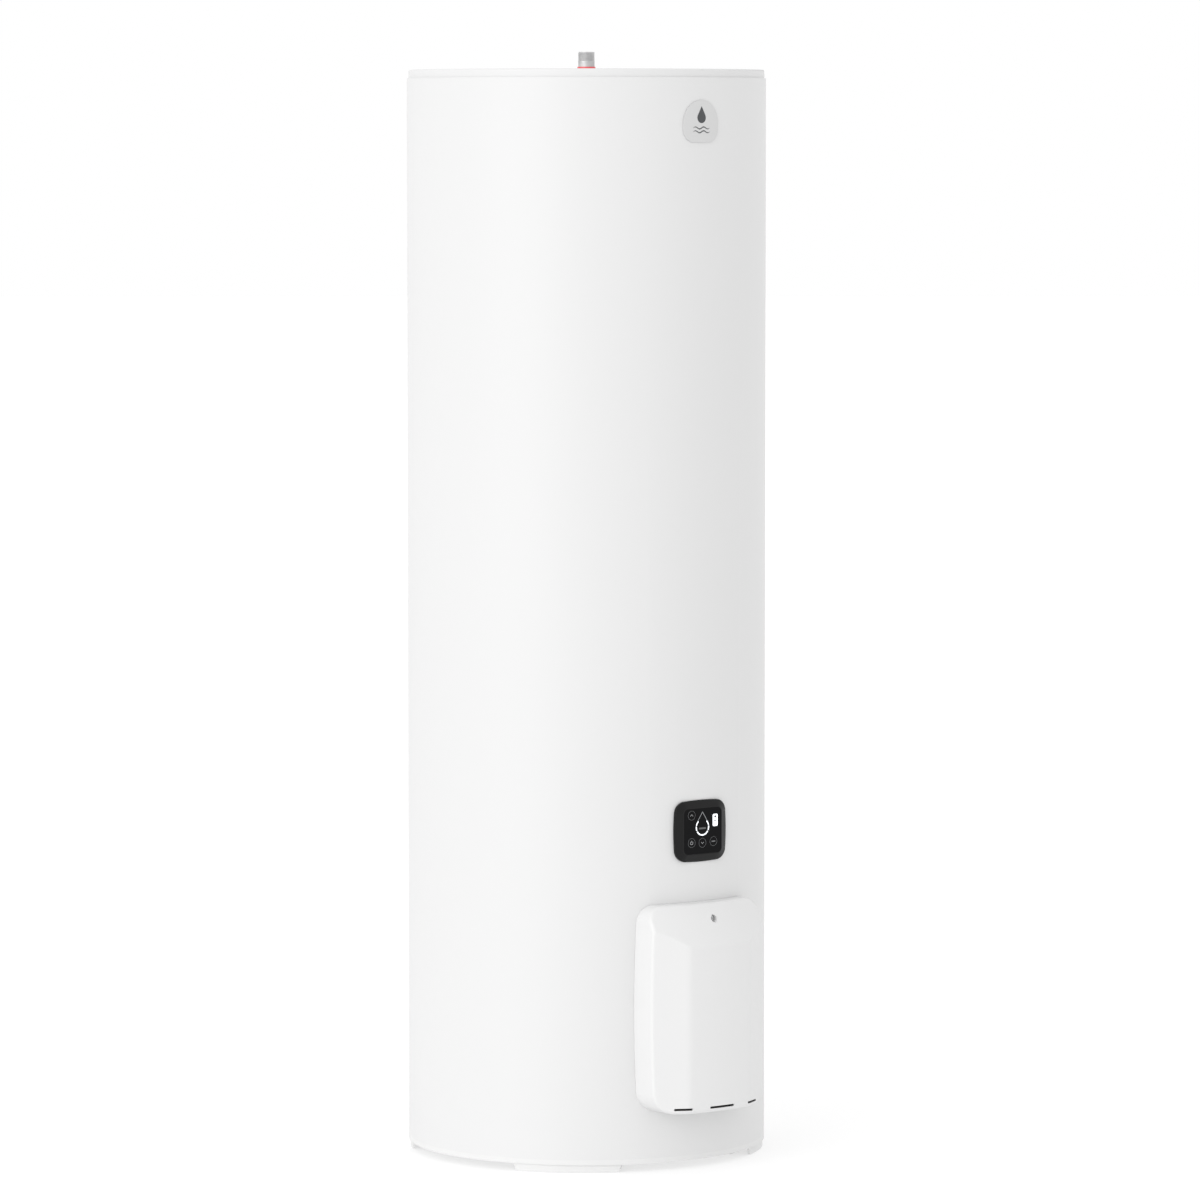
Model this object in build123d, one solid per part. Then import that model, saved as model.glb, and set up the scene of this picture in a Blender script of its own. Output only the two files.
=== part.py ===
from build123d import *
import os
from math import asin, cos, pi, radians, sin, sqrt, tan

# Floor-standing electric water heater, about 300 litres. Millimetres, +Z up, the front faces -Y.
# The origin is on the floor, on the axis of the tank.

# ---- fits shared by every piece ----
SEAT = 0.3            # gap between a loose piece and the curved seat that carries it
SCREW_PLAY = 0.2      # gap around a screw in its hole
RUNNING_FIT = 0.06    # radial play of a turning or sliding piece

# ---- casing and base ----
CASING_R = 287.5
CASING_T = 0.6
CASING_TOP = 1719.5
SEAM_WIDTH = 9.0
SEAM_PROUD = 0.7
FOOT_H = 12.0
RIM_H = 8.0
FOOT_COUNT = 4
FOOT_HALF_ANGLE = 17.5
FOOT_DEPTH = 33.0
FOOT_INSET = 2.5
FOOT_WALL = 3.5
FOOT_SLOPE = 6.0
BASE_FLOOR_T = 2.5
BASE_SKIRT_H = 25.0
BASE_SKIRT_T = 2.0
BEARING_W = 14.0
CAP_H = 14.5
CAP_STEP = 2.8
CAP_T = 1.2
CAP_SKIRT_H = 22.0

# ---- tank ----
FOAM_T = 42.5
TANK_T = 2.0
DOME_T = 2.2
DOME_CROWN_R = 500.0
DOME_KNUCKLE_R = 40.0
TANK_Z0 = 120.0
TANK_HEADROOM = 109.5
SUPPORT_R = 180.0
SUPPORT_T = 3.0

# ---- water connections, G3/4 male ----
THREAD_R = 13.22
THREAD_L = 16.5
PIPE_R = 13.0
PIPE_BORE_R = 10.2
OUTLET_PROUD = 28.7
OUTLET_INSIDE = 18.0
INLET_Z = 270.0
INLET_ANGLE = 75.0
INLET_PROUD = 22.5
INLET_INSIDE = 30.0
RING_R = 15.2
RING_TOP_R = 14.3
RING_H = 5.0
GROMMET_GROOVE = 1.6
GROMMET_FLANGE = 3.0
DIFFUSER_L = 62.0
DIFFUSER_WALL = 1.6

# ---- service bay behind the cover ----
BAY_HALF_W = 84.0
BAY_Z0 = 125.0
BAY_Z1 = 378.0
BAY_CORNER_R = 10.0
BAY_WALL = 2.0
LIP_MARGIN = 10.0
LIP_TOP_MARGIN = 32.0
LIP_BOTTOM_MARGIN = 13.0
LIP_T = 1.8
LIP_SCREW_INSET = 5.0
LIP_SCREW_R = 1.5
LIP_SCREW_L = 3.4
BOSS_R = 6.0
BOSS_H = 11.7

# ---- service cover ----
COVER_Z0 = 95.0
COVER_H = 328.0
COVER_HALF_W = 115.0
COVER_BOW = 4.5
COVER_TOP_CORNER_R = 28.0
COVER_BOTTOM_CORNER_R = 34.0
COVER_WALL = 2.6
COVER_PROUD = 56.5
COVER_RIDGE_HALF_W = 62.0
COVER_SIDE_PROUD = 20.0
COVER_CREASE_Z = 360.0
COVER_SLOPE_DEG = 29.4
COVER_RIDGE_FILLET = 28.0
COVER_EDGE_FILLET = 7.0
COVER_CREASE_FILLET = 5.0
COVER_SCREW_Z = 399.0
COVER_POCKET_R = 6.0
COVER_POCKET_PROUD = 25.5
COVER_PILLAR_R = 8.6
SLOT_Z = 103.0
SLOT_H = 3.6
SLOT_CENTRE_HALF_W = 24.6
SLOT_SIDE_FROM = 56.0
SLOT_SIDE_TO = 84.0
HOOK_X = 30.0
HOOK_HALF_W = 12.0
HOOK_T = 3.0
HOOK_REACH = 13.0
HOOK_LIFT = 5.5
HINGE_OFFSET = 2.5
SCREW_HEAD_R = 4.2
SCREW_HEAD_H = 2.8
SCREW_SHANK_R = 2.0

# ---- heater flange ----
FLANGE_Z = 205.0
FLANGE_HOLE_R = 41.0
FLANGE_R = 60.0
FLANGE_STANDOFF = 13.0
COLLAR_T = 16.0
GASKET_T = 3.0
PLATE_T = 4.0
STUD_PCD_R = 50.5
STUD_COUNT = 6
STUD_R = 4.0
STUD_PROUD = 13.0
NUT_AF = 13.0
NUT_H = 6.5
SHEATH_X = -14.0
SHEATH_R = 22.0
SHEATH_T = 1.6
SHEATH_L = 330.0
CERAMIC_R = 18.5
CERAMIC_L = 312.0
CERAMIC_HEAD_T = 8.0
COIL_COUNT = 6
COIL_R = 2.2
COIL_RING_R = 14.0
BLADE_GAP = 12.0
BLADE_W = 6.3
BLADE_T = 0.8
BLADE_L = 12.0
ANODE_X = 24.0
ANODE_DZ = 12.0
ANODE_R = 8.5
ANODE_L = 300.0
ANODE_STUD_R = 3.0
POCKET_DZ = -16.0
POCKET_R = 4.2
POCKET_T = 0.8
POCKET_L = 260.0

# ---- power box ----
BOX_Z0 = 284.0
BOX_Z1 = 367.0
BOX_STANDOFF = 17.0
BOX_PROUD = 12.5
BOX_WALL = 2.0
LID_T = 2.0
BOARD_T = 1.6
BOARD_STANDOFF = 5.0
PARTITION_X = 4.0
THERMOSTAT_W = 58.0
THERMOSTAT_H = 36.0
THERMOSTAT_D = 30.0
BUTTON_R = 3.4
BUTTON_PROUD = 4.0
BUTTON_TRAVEL = 2.0
BLOCK_W = 56.0
BLOCK_H = 26.0
BLOCK_D = 22.0
POLE_PITCH = 17.0
LEAD_R = 1.4

PROBE_L = 70.0
PROBE_LEAD_X = 69.0
PROBE_LEAD_R = 0.8
CLAMP_X = 66.0
CLAMP_HALF_W = 15.0
CLAMP_BASE_D = 5.0
CLAMP_BAR_D = 3.5

# ---- control panel ----
PANEL_Z = 535.5
PANEL_HALF_W = 51.5
PANEL_HALF_H = 49.0
PANEL_BOW = 2.6
PANEL_CORNER_R = 19.0
PANEL_EDGE_PROUD = 1.5
PANEL_PROUD = 6.1
SCREEN_HALF_W = 38.0
SCREEN_HALF_H = 36.0
SCREEN_CORNER_R = 8.0
SCREEN_T = 2.5
SCREEN_RECESS = 0.4
HOUSING_HALF_W = 45.0
HOUSING_HALF_H = 43.0
HOUSING_CORNER_R = 10.0
HOUSING_SUNK = 6.5
HOUSING_DEPTH = 19.0
HOUSING_WALL = 2.0
CONDUIT_X = -20.0
CONDUIT_R = 7.0
CONDUIT_WALL = 1.5
CABLE_R = 2.2

# ---- badge ----
BADGE_DROP = 67.5
BADGE_HALF_W = 35.0
BADGE_HALF_H = 33.0
BADGE_CORNER_R = 20.0
BADGE_T = 1.2

# ---- worked out from the values above ----
TANK_R = CASING_R - FOAM_T
TANK_Z1 = CASING_TOP - TANK_HEADROOM
FLANGE_N = TANK_R + FLANGE_STANDOFF
BOX_BACK_N = TANK_R + BOX_STANDOFF
BOX_FRONT_N = CASING_R + BOX_PROUD
COVER_SIDE_N = CASING_R + COVER_SIDE_PROUD
COVER_POCKET_FLOOR_N = CASING_R + COVER_POCKET_PROUD
PANEL_EDGE_N = CASING_R + PANEL_EDGE_PROUD
PANEL_FRONT_N = CASING_R + PANEL_PROUD
HOUSING_FRONT_N = CASING_R - HOUSING_SUNK
HOUSING_BACK_N = HOUSING_FRONT_N - HOUSING_DEPTH
BADGE_Z = CASING_TOP - BADGE_DROP
CASING_Z0 = FOOT_H + RIM_H
CASING_IN_R = CASING_R - CASING_T
TOP_Z = CASING_TOP + CAP_H
DOME_H = DOME_CROWN_R - sqrt((DOME_CROWN_R - DOME_KNUCKLE_R) ** 2 - (TANK_R - DOME_KNUCKLE_R) ** 2)
BASE_FLOOR_Z = FOOT_H + 2.0
COVER_Z1 = COVER_Z0 + COVER_H
COVER_R = CASING_R + COVER_PROUD
PLATE_BACK_N = FLANGE_N + GASKET_T
PLATE_FRONT_N = PLATE_BACK_N + PLATE_T
BOX_HALF_W = BAY_HALF_W - BAY_WALL - SEAT
BOSS_END_N = CASING_R + SEAT + BOSS_H
PILLAR_END_N = BOSS_END_N + SEAT
HINGE_N = CASING_R + HINGE_OFFSET
FAR = 2 * CASING_R


def front(x, n, z):
    """Frame whose local Z points out of the front, n mm before the axis, with local Y up."""
    return Location(Plane(origin=(x, -n, z), x_dir=(1, 0, 0), z_dir=(0, -1, 0)))


def rod(x, z, n0, n1, r):
    """Round bar along the front direction, from n0 to n1."""
    return front(x, n0, z) * extrude(Circle(r), n1 - n0)


def upright(x, y, z0, z1, r):
    """Vertical round bar."""
    return Pos(x, y, z0) * extrude(Circle(r), z1 - z0)


def block(x0, x1, n0, n1, z0, z1):
    """Box between two widths, two distances before the axis and two heights."""
    return Pos((x0 + x1) / 2, -(n0 + n1) / 2, (z0 + z1) / 2) * Box(x1 - x0, n1 - n0, z1 - z0)


def slab(half_w, z0, z1, n0, n1, corner_r, x=0.0):
    """Block with rounded corners in the front view."""
    outline = RectangleRounded(2 * half_w, z1 - z0, corner_r)
    return front(x, n0, (z0 + z1) / 2) * extrude(outline, n1 - n0)


def tube_wall(r0, r1, z0, z1):
    """Upright ring between two radii and two heights."""
    return Pos(0, 0, z0) * extrude(Circle(r1) - Circle(r0), z1 - z0)


def radial(angle, n, z):
    """Frame on the casing whose local Z points outwards, angle degrees round from the front towards +X."""
    out = (sin(radians(angle)), -cos(radians(angle)), 0)
    return Location(Plane(origin=(n * out[0], n * out[1], z), x_dir=(cos(radians(angle)), sin(radians(angle)), 0),
                          z_dir=out))


def save(name, shape):
    """Write one node; several solids go in as a group."""
    solids = list(shape) if isinstance(shape, (list, tuple)) else list(shape.solids())
    out = solids[0] if len(solids) == 1 else Compound(children=[Solid(s.wrapped) for s in solids])
    export_step(out, f"parts/{name}.step")


def lead(points, r):
    """Wire along straight runs joined by tangent arcs."""
    pts = [Vector(*p) for p in points]
    radii = []
    for a, b, c in zip(pts, pts[1:], pts[2:]):
        turn = radians((b - a).get_angle(c - b))
        radii.append(0.45 * min((b - a).length, (c - b).length) / tan(turn / 2))
    path = FilletPolyline(*pts, radius=radii)
    start = Plane(origin=pts[0], z_dir=pts[1] - pts[0])
    return sweep(start * Circle(r), path=path)


# ---------------------------------------------------------------- base, casing and top

def base_pan():
    """Moulded pan: floor, rim under the casing, skirt inside it, hollow feet, and a ring under the tank."""
    skirt_r = CASING_IN_R - SEAT
    pan = tube_wall(skirt_r - BASE_SKIRT_T, skirt_r, FOOT_H, CASING_Z0 + BASE_SKIRT_H)
    pan += tube_wall(skirt_r - BASE_SKIRT_T, CASING_R, FOOT_H, CASING_Z0)
    pan += Pos(0, 0, BASE_FLOOR_Z) * extrude(Circle(skirt_r - 0.5), BASE_FLOOR_T)
    for i in range(FOOT_COUNT):
        pan += Rot(0, 0, 45 + i * 360 / FOOT_COUNT) * foot()
    return pan + tube_wall(SUPPORT_R - BEARING_W / 2, SUPPORT_R + BEARING_W / 2, 0, BASE_FLOOR_Z)


def foot():
    """Arc-shaped channel under the rim, open below and at its ends, which slope outwards to its top."""
    outer_r, top = CASING_R - FOOT_INSET, BASE_FLOOR_Z
    half = outer_r * radians(FOOT_HALF_ANGLE)
    side = Polygon((-half + FOOT_SLOPE, 0), (half - FOOT_SLOPE, 0), (half, top), (-half, top), align=None)
    prism = extrude(Plane(origin=(outer_r / 2, 0, 0), x_dir=(0, 1, 0), z_dir=(1, 0, 0)) * side, outer_r)
    inner_r = outer_r - FOOT_DEPTH
    channel = tube_wall(inner_r, outer_r, -1, top) - tube_wall(inner_r + FOOT_WALL, outer_r - FOOT_WALL, -2,
                                                              FOOT_H - 2)
    return prism & channel


def outer_casing():
    """Lacquered sheet cylinder with a lock seam at the rear and its cut-outs."""
    shell = tube_wall(CASING_IN_R, CASING_R, CASING_Z0, CASING_TOP)
    seam = tube_wall(CASING_IN_R, CASING_R + SEAM_PROUD, CASING_Z0, CASING_TOP)
    shell += seam & Pos(0, CASING_R, (CASING_Z0 + CASING_TOP) / 2) * Box(SEAM_WIDTH, 20, CASING_TOP)
    shell -= slab(BAY_HALF_W + SEAT, BAY_Z0 - SEAT, BAY_Z1 + SEAT, TANK_R, FAR, BAY_CORNER_R)
    for side in (-1, 1):
        shell -= hook_slot(side, TANK_R, FAR, 0)
    shell -= slab(HOUSING_HALF_W + 1, PANEL_Z - HOUSING_HALF_H - 1, PANEL_Z + HOUSING_HALF_H + 1, TANK_R, FAR,
                  HOUSING_CORNER_R)
    for x, z in lip_screw_places():
        shell -= rod(x, z, TANK_R, FAR, LIP_SCREW_R + SCREW_PLAY)
    return shell - radial(INLET_ANGLE, TANK_R, INLET_Z) * extrude(Circle(THREAD_R + GROMMET_GROOVE), CASING_R)


def hook_slot(side, n0, n1, extra):
    """Slot through which one tongue of the service cover hooks behind the casing."""
    x = side * HOOK_X
    half = HOOK_HALF_W + 1 + extra
    z0 = COVER_Z0 + HOOK_LIFT - SEAT - extra
    return block(x - half, x + half, n0, n1, z0, z0 + HOOK_T + 8 + 2 * extra)


def top_cover():
    """Pressed lid: skirt inside the casing, bead on its edge, stepped-in wall and flat top."""
    skirt_r = CASING_IN_R - SEAT
    wall_r = CASING_R - CAP_STEP
    with BuildSketch(Plane.XZ) as section:
        with BuildLine():
            Polyline((0, TOP_Z), (wall_r - 3, TOP_Z))
            RadiusArc((wall_r - 3, TOP_Z), (wall_r, TOP_Z - 3), 3)
            Polyline((wall_r, TOP_Z - 3), (wall_r, CASING_TOP + CAP_T), (CASING_R, CASING_TOP + CAP_T),
                     (CASING_R, CASING_TOP), (skirt_r, CASING_TOP), (skirt_r, CASING_TOP - CAP_SKIRT_H),
                     (skirt_r - CAP_T, CASING_TOP - CAP_SKIRT_H), (skirt_r - CAP_T, CASING_TOP - 1),
                     (wall_r - CAP_T, CASING_TOP), (wall_r - CAP_T, TOP_Z - 3))
            RadiusArc((wall_r - CAP_T, TOP_Z - 3), (wall_r - 3, TOP_Z - CAP_T), -(3 - CAP_T))
            Polyline((wall_r - 3, TOP_Z - CAP_T), (0, TOP_Z - CAP_T), (0, TOP_Z))
        make_face()
    lid = revolve(section.sketch, Axis.Z)
    return lid - upright(0, 0, CASING_TOP, TOP_Z + 5, THREAD_R + GROMMET_GROOVE)


def badge_outline():
    """Plate with a fully round top and a flatter foot with rounded corners."""
    w, h, r = BADGE_HALF_W, BADGE_HALF_H, BADGE_CORNER_R
    with BuildSketch() as plate:
        with BuildLine():
            RadiusArc((-w, h - w), (w, h - w), w)
            Line((w, h - w), (w, -h + r))
            RadiusArc((w, -h + r), (w - r, -h), r)
            Line((w - r, -h), (-w + r, -h))
            RadiusArc((-w + r, -h), (-w, -h + r), r)
            Line((-w, -h + r), (-w, h - w))
        make_face()
    return plate.sketch


def badge_plate():
    """Thin plate bent to the casing."""
    plate = front(0, TANK_R, BADGE_Z) * extrude(badge_outline(), FAR)
    return plate & tube_wall(CASING_R + SEAT, CASING_R + SEAT + BADGE_T, BADGE_Z - 60, BADGE_Z + 60)


def foam():
    """Injected insulation that fills the space between casing and tank."""
    z0, z1 = BASE_FLOOR_Z + BASE_FLOOR_T, TOP_Z - CAP_T
    skirt_top, skirt_foot = CASING_Z0 + BASE_SKIRT_H + SEAT, CASING_TOP - CAP_SKIRT_H - SEAT
    outer_r = CASING_IN_R - SEAT
    fill = upright(0, 0, z0, z1, CASING_R - CAP_STEP - 3)
    fill += upright(0, 0, skirt_top, skirt_foot, outer_r)
    fill -= tank_form(SEAT)
    fill -= upright(0, 0, z0 - 1, TANK_Z0, SUPPORT_R + SEAT)
    for x, z in lip_screw_places():
        fill -= rod(x, z, TANK_R + 5, FAR, LIP_SCREW_R + SCREW_PLAY)
    fill -= slab(BAY_HALF_W + SEAT, BAY_Z0 - SEAT, BAY_Z1 + SEAT, TANK_R - 30, FAR, BAY_CORNER_R)
    for side in (-1, 1):
        fill -= hook_slot(side, CASING_R - HOOK_REACH - 4, FAR, 2)
    fill -= slab(HOUSING_HALF_W + SEAT, PANEL_Z - HOUSING_HALF_H - SEAT, PANEL_Z + HOUSING_HALF_H + SEAT,
                 HOUSING_BACK_N - SEAT, FAR, HOUSING_CORNER_R)
    fill -= upright(CONDUIT_X, -conduit_n(), BAY_Z1 - 5, PANEL_Z, CONDUIT_R + SEAT)
    fill -= upright(0, 0, TANK_Z1, TOP_Z, THREAD_R + SEAT)
    fill -= upright(0, 0, TOP_Z - CAP_T - GROMMET_GROOVE, TOP_Z, THREAD_R + GROMMET_FLANGE + SEAT)
    fill -= radial(INLET_ANGLE, TANK_R - 10, INLET_Z) * extrude(Circle(THREAD_R + SEAT), 2 * (CASING_R - TANK_R))
    grommet_r = THREAD_R + GROMMET_GROOVE + GROMMET_FLANGE + SEAT
    return fill - radial(INLET_ANGLE, CASING_IN_R - 4, INLET_Z) * extrude(Circle(grommet_r), 20)


# ---------------------------------------------------------------- tank

def dome_section(grow):
    """Half section of the dished end, from its crown to its edge, grown by a wall."""
    crown, knuckle, edge = DOME_CROWN_R + grow, DOME_KNUCKLE_R + grow, TANK_R + grow
    centre_z = DOME_H - DOME_CROWN_R
    turn = asin((TANK_R - DOME_KNUCKLE_R) / (DOME_CROWN_R - DOME_KNUCKLE_R))
    meet = (crown * sin(turn), centre_z + crown * cos(turn))
    with BuildSketch(Plane.XZ) as section:
        with BuildLine():
            Line((0, 0), (0, centre_z + crown))
            RadiusArc((0, centre_z + crown), meet, crown)
            RadiusArc(meet, (edge, 0), knuckle)
            Line((edge, 0), (0, 0))
        make_face()
    return section.sketch


def dome(grow):
    """Solid dished end standing on z = 0."""
    return revolve(dome_section(grow), Axis.Z)


def dome_shell():
    """Dished end with its wall."""
    return dome(0) - Pos(0, 0, -0.01) * dome(-DOME_T)


def upper(shape):
    """Place an end on top of the tank."""
    return Pos(0, 0, TANK_Z1) * shape


def lower(shape):
    """Place an end under the tank."""
    return Pos(0, 0, TANK_Z0) * Rot(180, 0, 0) * shape


def tank_form(grow):
    """The whole tank as one closed form."""
    barrel = Pos(0, 0, TANK_Z0) * extrude(Circle(TANK_R + grow), TANK_Z1 - TANK_Z0)
    return barrel + upper(dome(grow)) + lower(dome(grow))


def tank_shell():
    """Rolled barrel with holes for the heater flange and the cold inlet."""
    shell = tube_wall(TANK_R - TANK_T, TANK_R, TANK_Z0, TANK_Z1)
    shell -= rod(0, FLANGE_Z, TANK_R / 2, FAR, FLANGE_HOLE_R)
    return shell - radial(INLET_ANGLE, TANK_R / 2, INLET_Z) * extrude(Circle(THREAD_R + SEAT), TANK_R)


def support_ring():
    """Skirt that carries the tank on the base pan."""
    ring = tube_wall(SUPPORT_R - SUPPORT_T, SUPPORT_R, BASE_FLOOR_Z + BASE_FLOOR_T, TANK_Z0)
    return ring - lower(dome(SEAT))


def pipe_stub(length):
    """Bored pipe standing on z = 0 with its male thread at the far end."""
    stub = extrude(Circle(PIPE_R), length) + Pos(0, 0, length - THREAD_L) * extrude(Circle(THREAD_R), THREAD_L)
    return stub - Pos(0, 0, -1) * extrude(Circle(PIPE_BORE_R), length + 2)


def hot_outlet():
    """Pipe welded into the crown, threaded above the top."""
    z0 = TANK_Z1 + DOME_H - OUTLET_INSIDE
    return Pos(0, 0, z0) * pipe_stub(TOP_Z + OUTLET_PROUD - z0)


def cold_inlet():
    """Pipe welded into the barrel, threaded outside the casing."""
    length = CASING_R + INLET_PROUD - TANK_R + INLET_INSIDE
    return radial(INLET_ANGLE, TANK_R - INLET_INSIDE, INLET_Z) * pipe_stub(length)


def colour_ring():
    """Flared ring that marks a connection, standing on z = 0."""
    bore = THREAD_R + SEAT
    section = Polygon((bore, 0), (RING_R, 0), (RING_TOP_R, RING_H), (bore, RING_H), align=None)
    return revolve(Plane.XZ * section, Axis.Z)


def grommet(depth_in, depth_out):
    """Rubber bush: sleeve in the sheet's hole with a flange behind it. The sheet's back face is at z = 0."""
    bore, neck = THREAD_R + SEAT / 2, THREAD_R + GROMMET_GROOVE - SEAT / 2
    flange_r = THREAD_R + GROMMET_FLANGE
    section = Polygon((bore, -depth_in), (flange_r, -depth_in), (flange_r, -0.1), (neck, -0.1), (neck, depth_out),
                      (bore, depth_out), align=None)
    return revolve(Plane.XZ * section, Axis.Z)


def diffuser():
    """Closed cap on the inlet pipe that turns the cold water sideways through four windows."""
    inner = THREAD_R + SEAT / 2
    outer = inner + DIFFUSER_WALL
    cap = extrude(Circle(outer), DIFFUSER_L) - Pos(0, 0, DIFFUSER_WALL) * extrude(Circle(inner), DIFFUSER_L)
    for i in range(4):
        cap -= Rot(0, 0, 45 + 90 * i) * Pos(outer, 0, DIFFUSER_L * 0.3) * Box(2 * outer, 9, DIFFUSER_L * 0.35)
    start = TANK_R - INLET_INSIDE + 15 - DIFFUSER_L
    return radial(INLET_ANGLE, start, INLET_Z) * cap


# ---------------------------------------------------------------- heater flange

def flange_collar():
    """Ring welded round the tank's hole, cut to the barrel behind."""
    ring = rod(0, FLANGE_Z, FLANGE_N - 40, FLANGE_N, FLANGE_R) - rod(0, FLANGE_Z, 0, FAR, FLANGE_HOLE_R)
    ring -= Pos(0, 0, TANK_Z0) * extrude(Circle(TANK_R + SEAT / 2), TANK_Z1 - TANK_Z0)
    for x, z in stud_places():
        ring -= rod(x, z, FLANGE_N - COLLAR_T / 2, FLANGE_N + 1, STUD_R + SCREW_PLAY / 2)
    return ring


def stud_places():
    """Centres of the flange studs in the front view."""
    step = 2 * pi / STUD_COUNT
    return [(STUD_PCD_R * sin(i * step + step / 2), FLANGE_Z + STUD_PCD_R * cos(i * step + step / 2))
            for i in range(STUD_COUNT)]


def flange_studs():
    """Studs screwed into the collar."""
    return [rod(x, z, FLANGE_N - COLLAR_T / 2, PLATE_FRONT_N + STUD_PROUD, STUD_R) for x, z in stud_places()]


def flange_nuts():
    """Hexagon nuts on the studs."""
    hexagon = RegularPolygon(NUT_AF / 2, 6, major_radius=False) - Circle(STUD_R + RUNNING_FIT)
    return [front(x, PLATE_FRONT_N, z) * extrude(hexagon, NUT_H) for x, z in stud_places()]


def drilled(shape, bolt_r):
    """Cut the stud holes."""
    for x, z in stud_places():
        shape -= rod(x, z, TANK_R, FAR, bolt_r)
    return shape


def flange_gasket():
    """Lipped ring between collar and plate."""
    ring = rod(0, FLANGE_Z, FLANGE_N, PLATE_BACK_N, FLANGE_R)
    ring += rod(0, FLANGE_Z, FLANGE_N - 6, PLATE_BACK_N, FLANGE_HOLE_R - SEAT)
    return drilled(ring - rod(0, FLANGE_Z, 0, FAR, FLANGE_HOLE_R - 3), STUD_R + SCREW_PLAY)


def flange_plate():
    """Enamelled plate with holes for the sheath, the anode's stud, the probe pocket and the earth screw."""
    plate = drilled(rod(0, FLANGE_Z, PLATE_BACK_N, PLATE_FRONT_N, FLANGE_R + 2), STUD_R + SCREW_PLAY)
    plate -= rod(SHEATH_X, FLANGE_Z, TANK_R, FAR, SHEATH_R + SEAT / 2)
    plate -= rod(ANODE_X, FLANGE_Z + ANODE_DZ, TANK_R, FAR, ANODE_STUD_R + SCREW_PLAY)
    plate -= rod(ANODE_X, FLANGE_Z + POCKET_DZ, TANK_R, FAR, POCKET_R + SEAT / 2)
    x, z = earth_place()
    return plate - rod(x, z, TANK_R, FAR, SCREW_SHANK_R + SCREW_PLAY)


def earth_place():
    """Centre of the earth screw, between two studs."""
    return STUD_PCD_R * sin(radians(60)), FLANGE_Z + STUD_PCD_R * cos(radians(60))


def heater_sheath():
    """Enamelled tube closed at its far end, open at the plate."""
    back = PLATE_FRONT_N - SHEATH_L
    tube = rod(SHEATH_X, FLANGE_Z, back, PLATE_FRONT_N, SHEATH_R)
    return tube - rod(SHEATH_X, FLANGE_Z, back + SHEATH_T, FAR, SHEATH_R - SHEATH_T)


def coil_places():
    """Centres of the coil channels in the ceramic rod."""
    step = 2 * pi / COIL_COUNT
    return [(SHEATH_X + COIL_RING_R * cos(i * step), FLANGE_Z + COIL_RING_R * sin(i * step))
            for i in range(COIL_COUNT)]


def blade_places():
    """Centres of the two supply blades on the ceramic head."""
    return [SHEATH_X - BLADE_GAP / 2, SHEATH_X + BLADE_GAP / 2]


def ceramic_element():
    """Steatite rod with channels for the coils and a head that closes the sheath."""
    back = PLATE_FRONT_N - CERAMIC_L
    body = rod(SHEATH_X, FLANGE_Z, back, PLATE_FRONT_N, CERAMIC_R)
    head_r = SHEATH_R - SHEATH_T - SEAT
    body += rod(SHEATH_X, FLANGE_Z, PLATE_FRONT_N - 4, PLATE_FRONT_N + CERAMIC_HEAD_T, head_r)
    for x, z in coil_places():
        body -= rod(x, z, back - 1, PLATE_FRONT_N - 6, COIL_R + SEAT)
    for x in blade_places():
        front_n = PLATE_FRONT_N + CERAMIC_HEAD_T
        body -= block(x - BLADE_T / 2, x + BLADE_T / 2, front_n - 4, front_n + 1, FLANGE_Z - BLADE_W / 2,
                      FLANGE_Z + BLADE_W / 2)
    return body


def heating_coils():
    """Resistance coils, each shown as a rod of its outer size."""
    back = PLATE_FRONT_N - CERAMIC_L
    return [rod(x, z, back + 4, PLATE_FRONT_N - 6, COIL_R) for x, z in coil_places()]


def element_terminals():
    """Flat supply blades."""
    n0 = PLATE_FRONT_N + CERAMIC_HEAD_T - 4
    return [block(x - BLADE_T / 2, x + BLADE_T / 2, n0, n0 + 4 + BLADE_L, FLANGE_Z - BLADE_W / 2,
                  FLANGE_Z + BLADE_W / 2) for x in blade_places()]


def anode_rod():
    """Magnesium rod cast round its steel stud, which passes through the plate."""
    z = FLANGE_Z + ANODE_DZ
    return rod(ANODE_X, z, PLATE_BACK_N - 2 - ANODE_L, PLATE_BACK_N - 2, ANODE_R) + rod(
        ANODE_X, z, PLATE_BACK_N - 4, PLATE_FRONT_N + 12, ANODE_STUD_R)


def anode_nut():
    """Nut with an insulating washer's thickness under it."""
    hexagon = RegularPolygon(5, 6, major_radius=False) - Circle(ANODE_STUD_R + RUNNING_FIT)
    return front(ANODE_X, PLATE_FRONT_N, FLANGE_Z + ANODE_DZ) * extrude(hexagon, 5)


def probe_pocket():
    """Thin closed tube that keeps the probes dry."""
    z = FLANGE_Z + POCKET_DZ
    back = PLATE_FRONT_N - POCKET_L
    return rod(ANODE_X, z, back, PLATE_FRONT_N + 3, POCKET_R) - rod(ANODE_X, z, back + POCKET_T, FAR,
                                                                    POCKET_R - POCKET_T)


def earth_screw():
    """Round-headed screw in the plate."""
    x, z = earth_place()
    screw = rod(x, z, PLATE_BACK_N, PLATE_FRONT_N + 1, SCREW_SHANK_R)
    return screw + rod(x, z, PLATE_FRONT_N, PLATE_FRONT_N + SCREW_HEAD_H, SCREW_HEAD_R)


# ---------------------------------------------------------------- service bay

def bay_prism(inset, n0, n1):
    """The bay's outline, extruded."""
    return slab(BAY_HALF_W - inset, BAY_Z0 + inset, BAY_Z1 - inset, n0, n1, BAY_CORNER_R - inset)


def lip_screw_places():
    """Screws at the four corners of the lip."""
    x = BAY_HALF_W + LIP_SCREW_INSET
    return [(sx * x, z) for sx in (-1, 1) for z in (BAY_Z0 + 8, BAY_Z1 - 8)]


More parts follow.
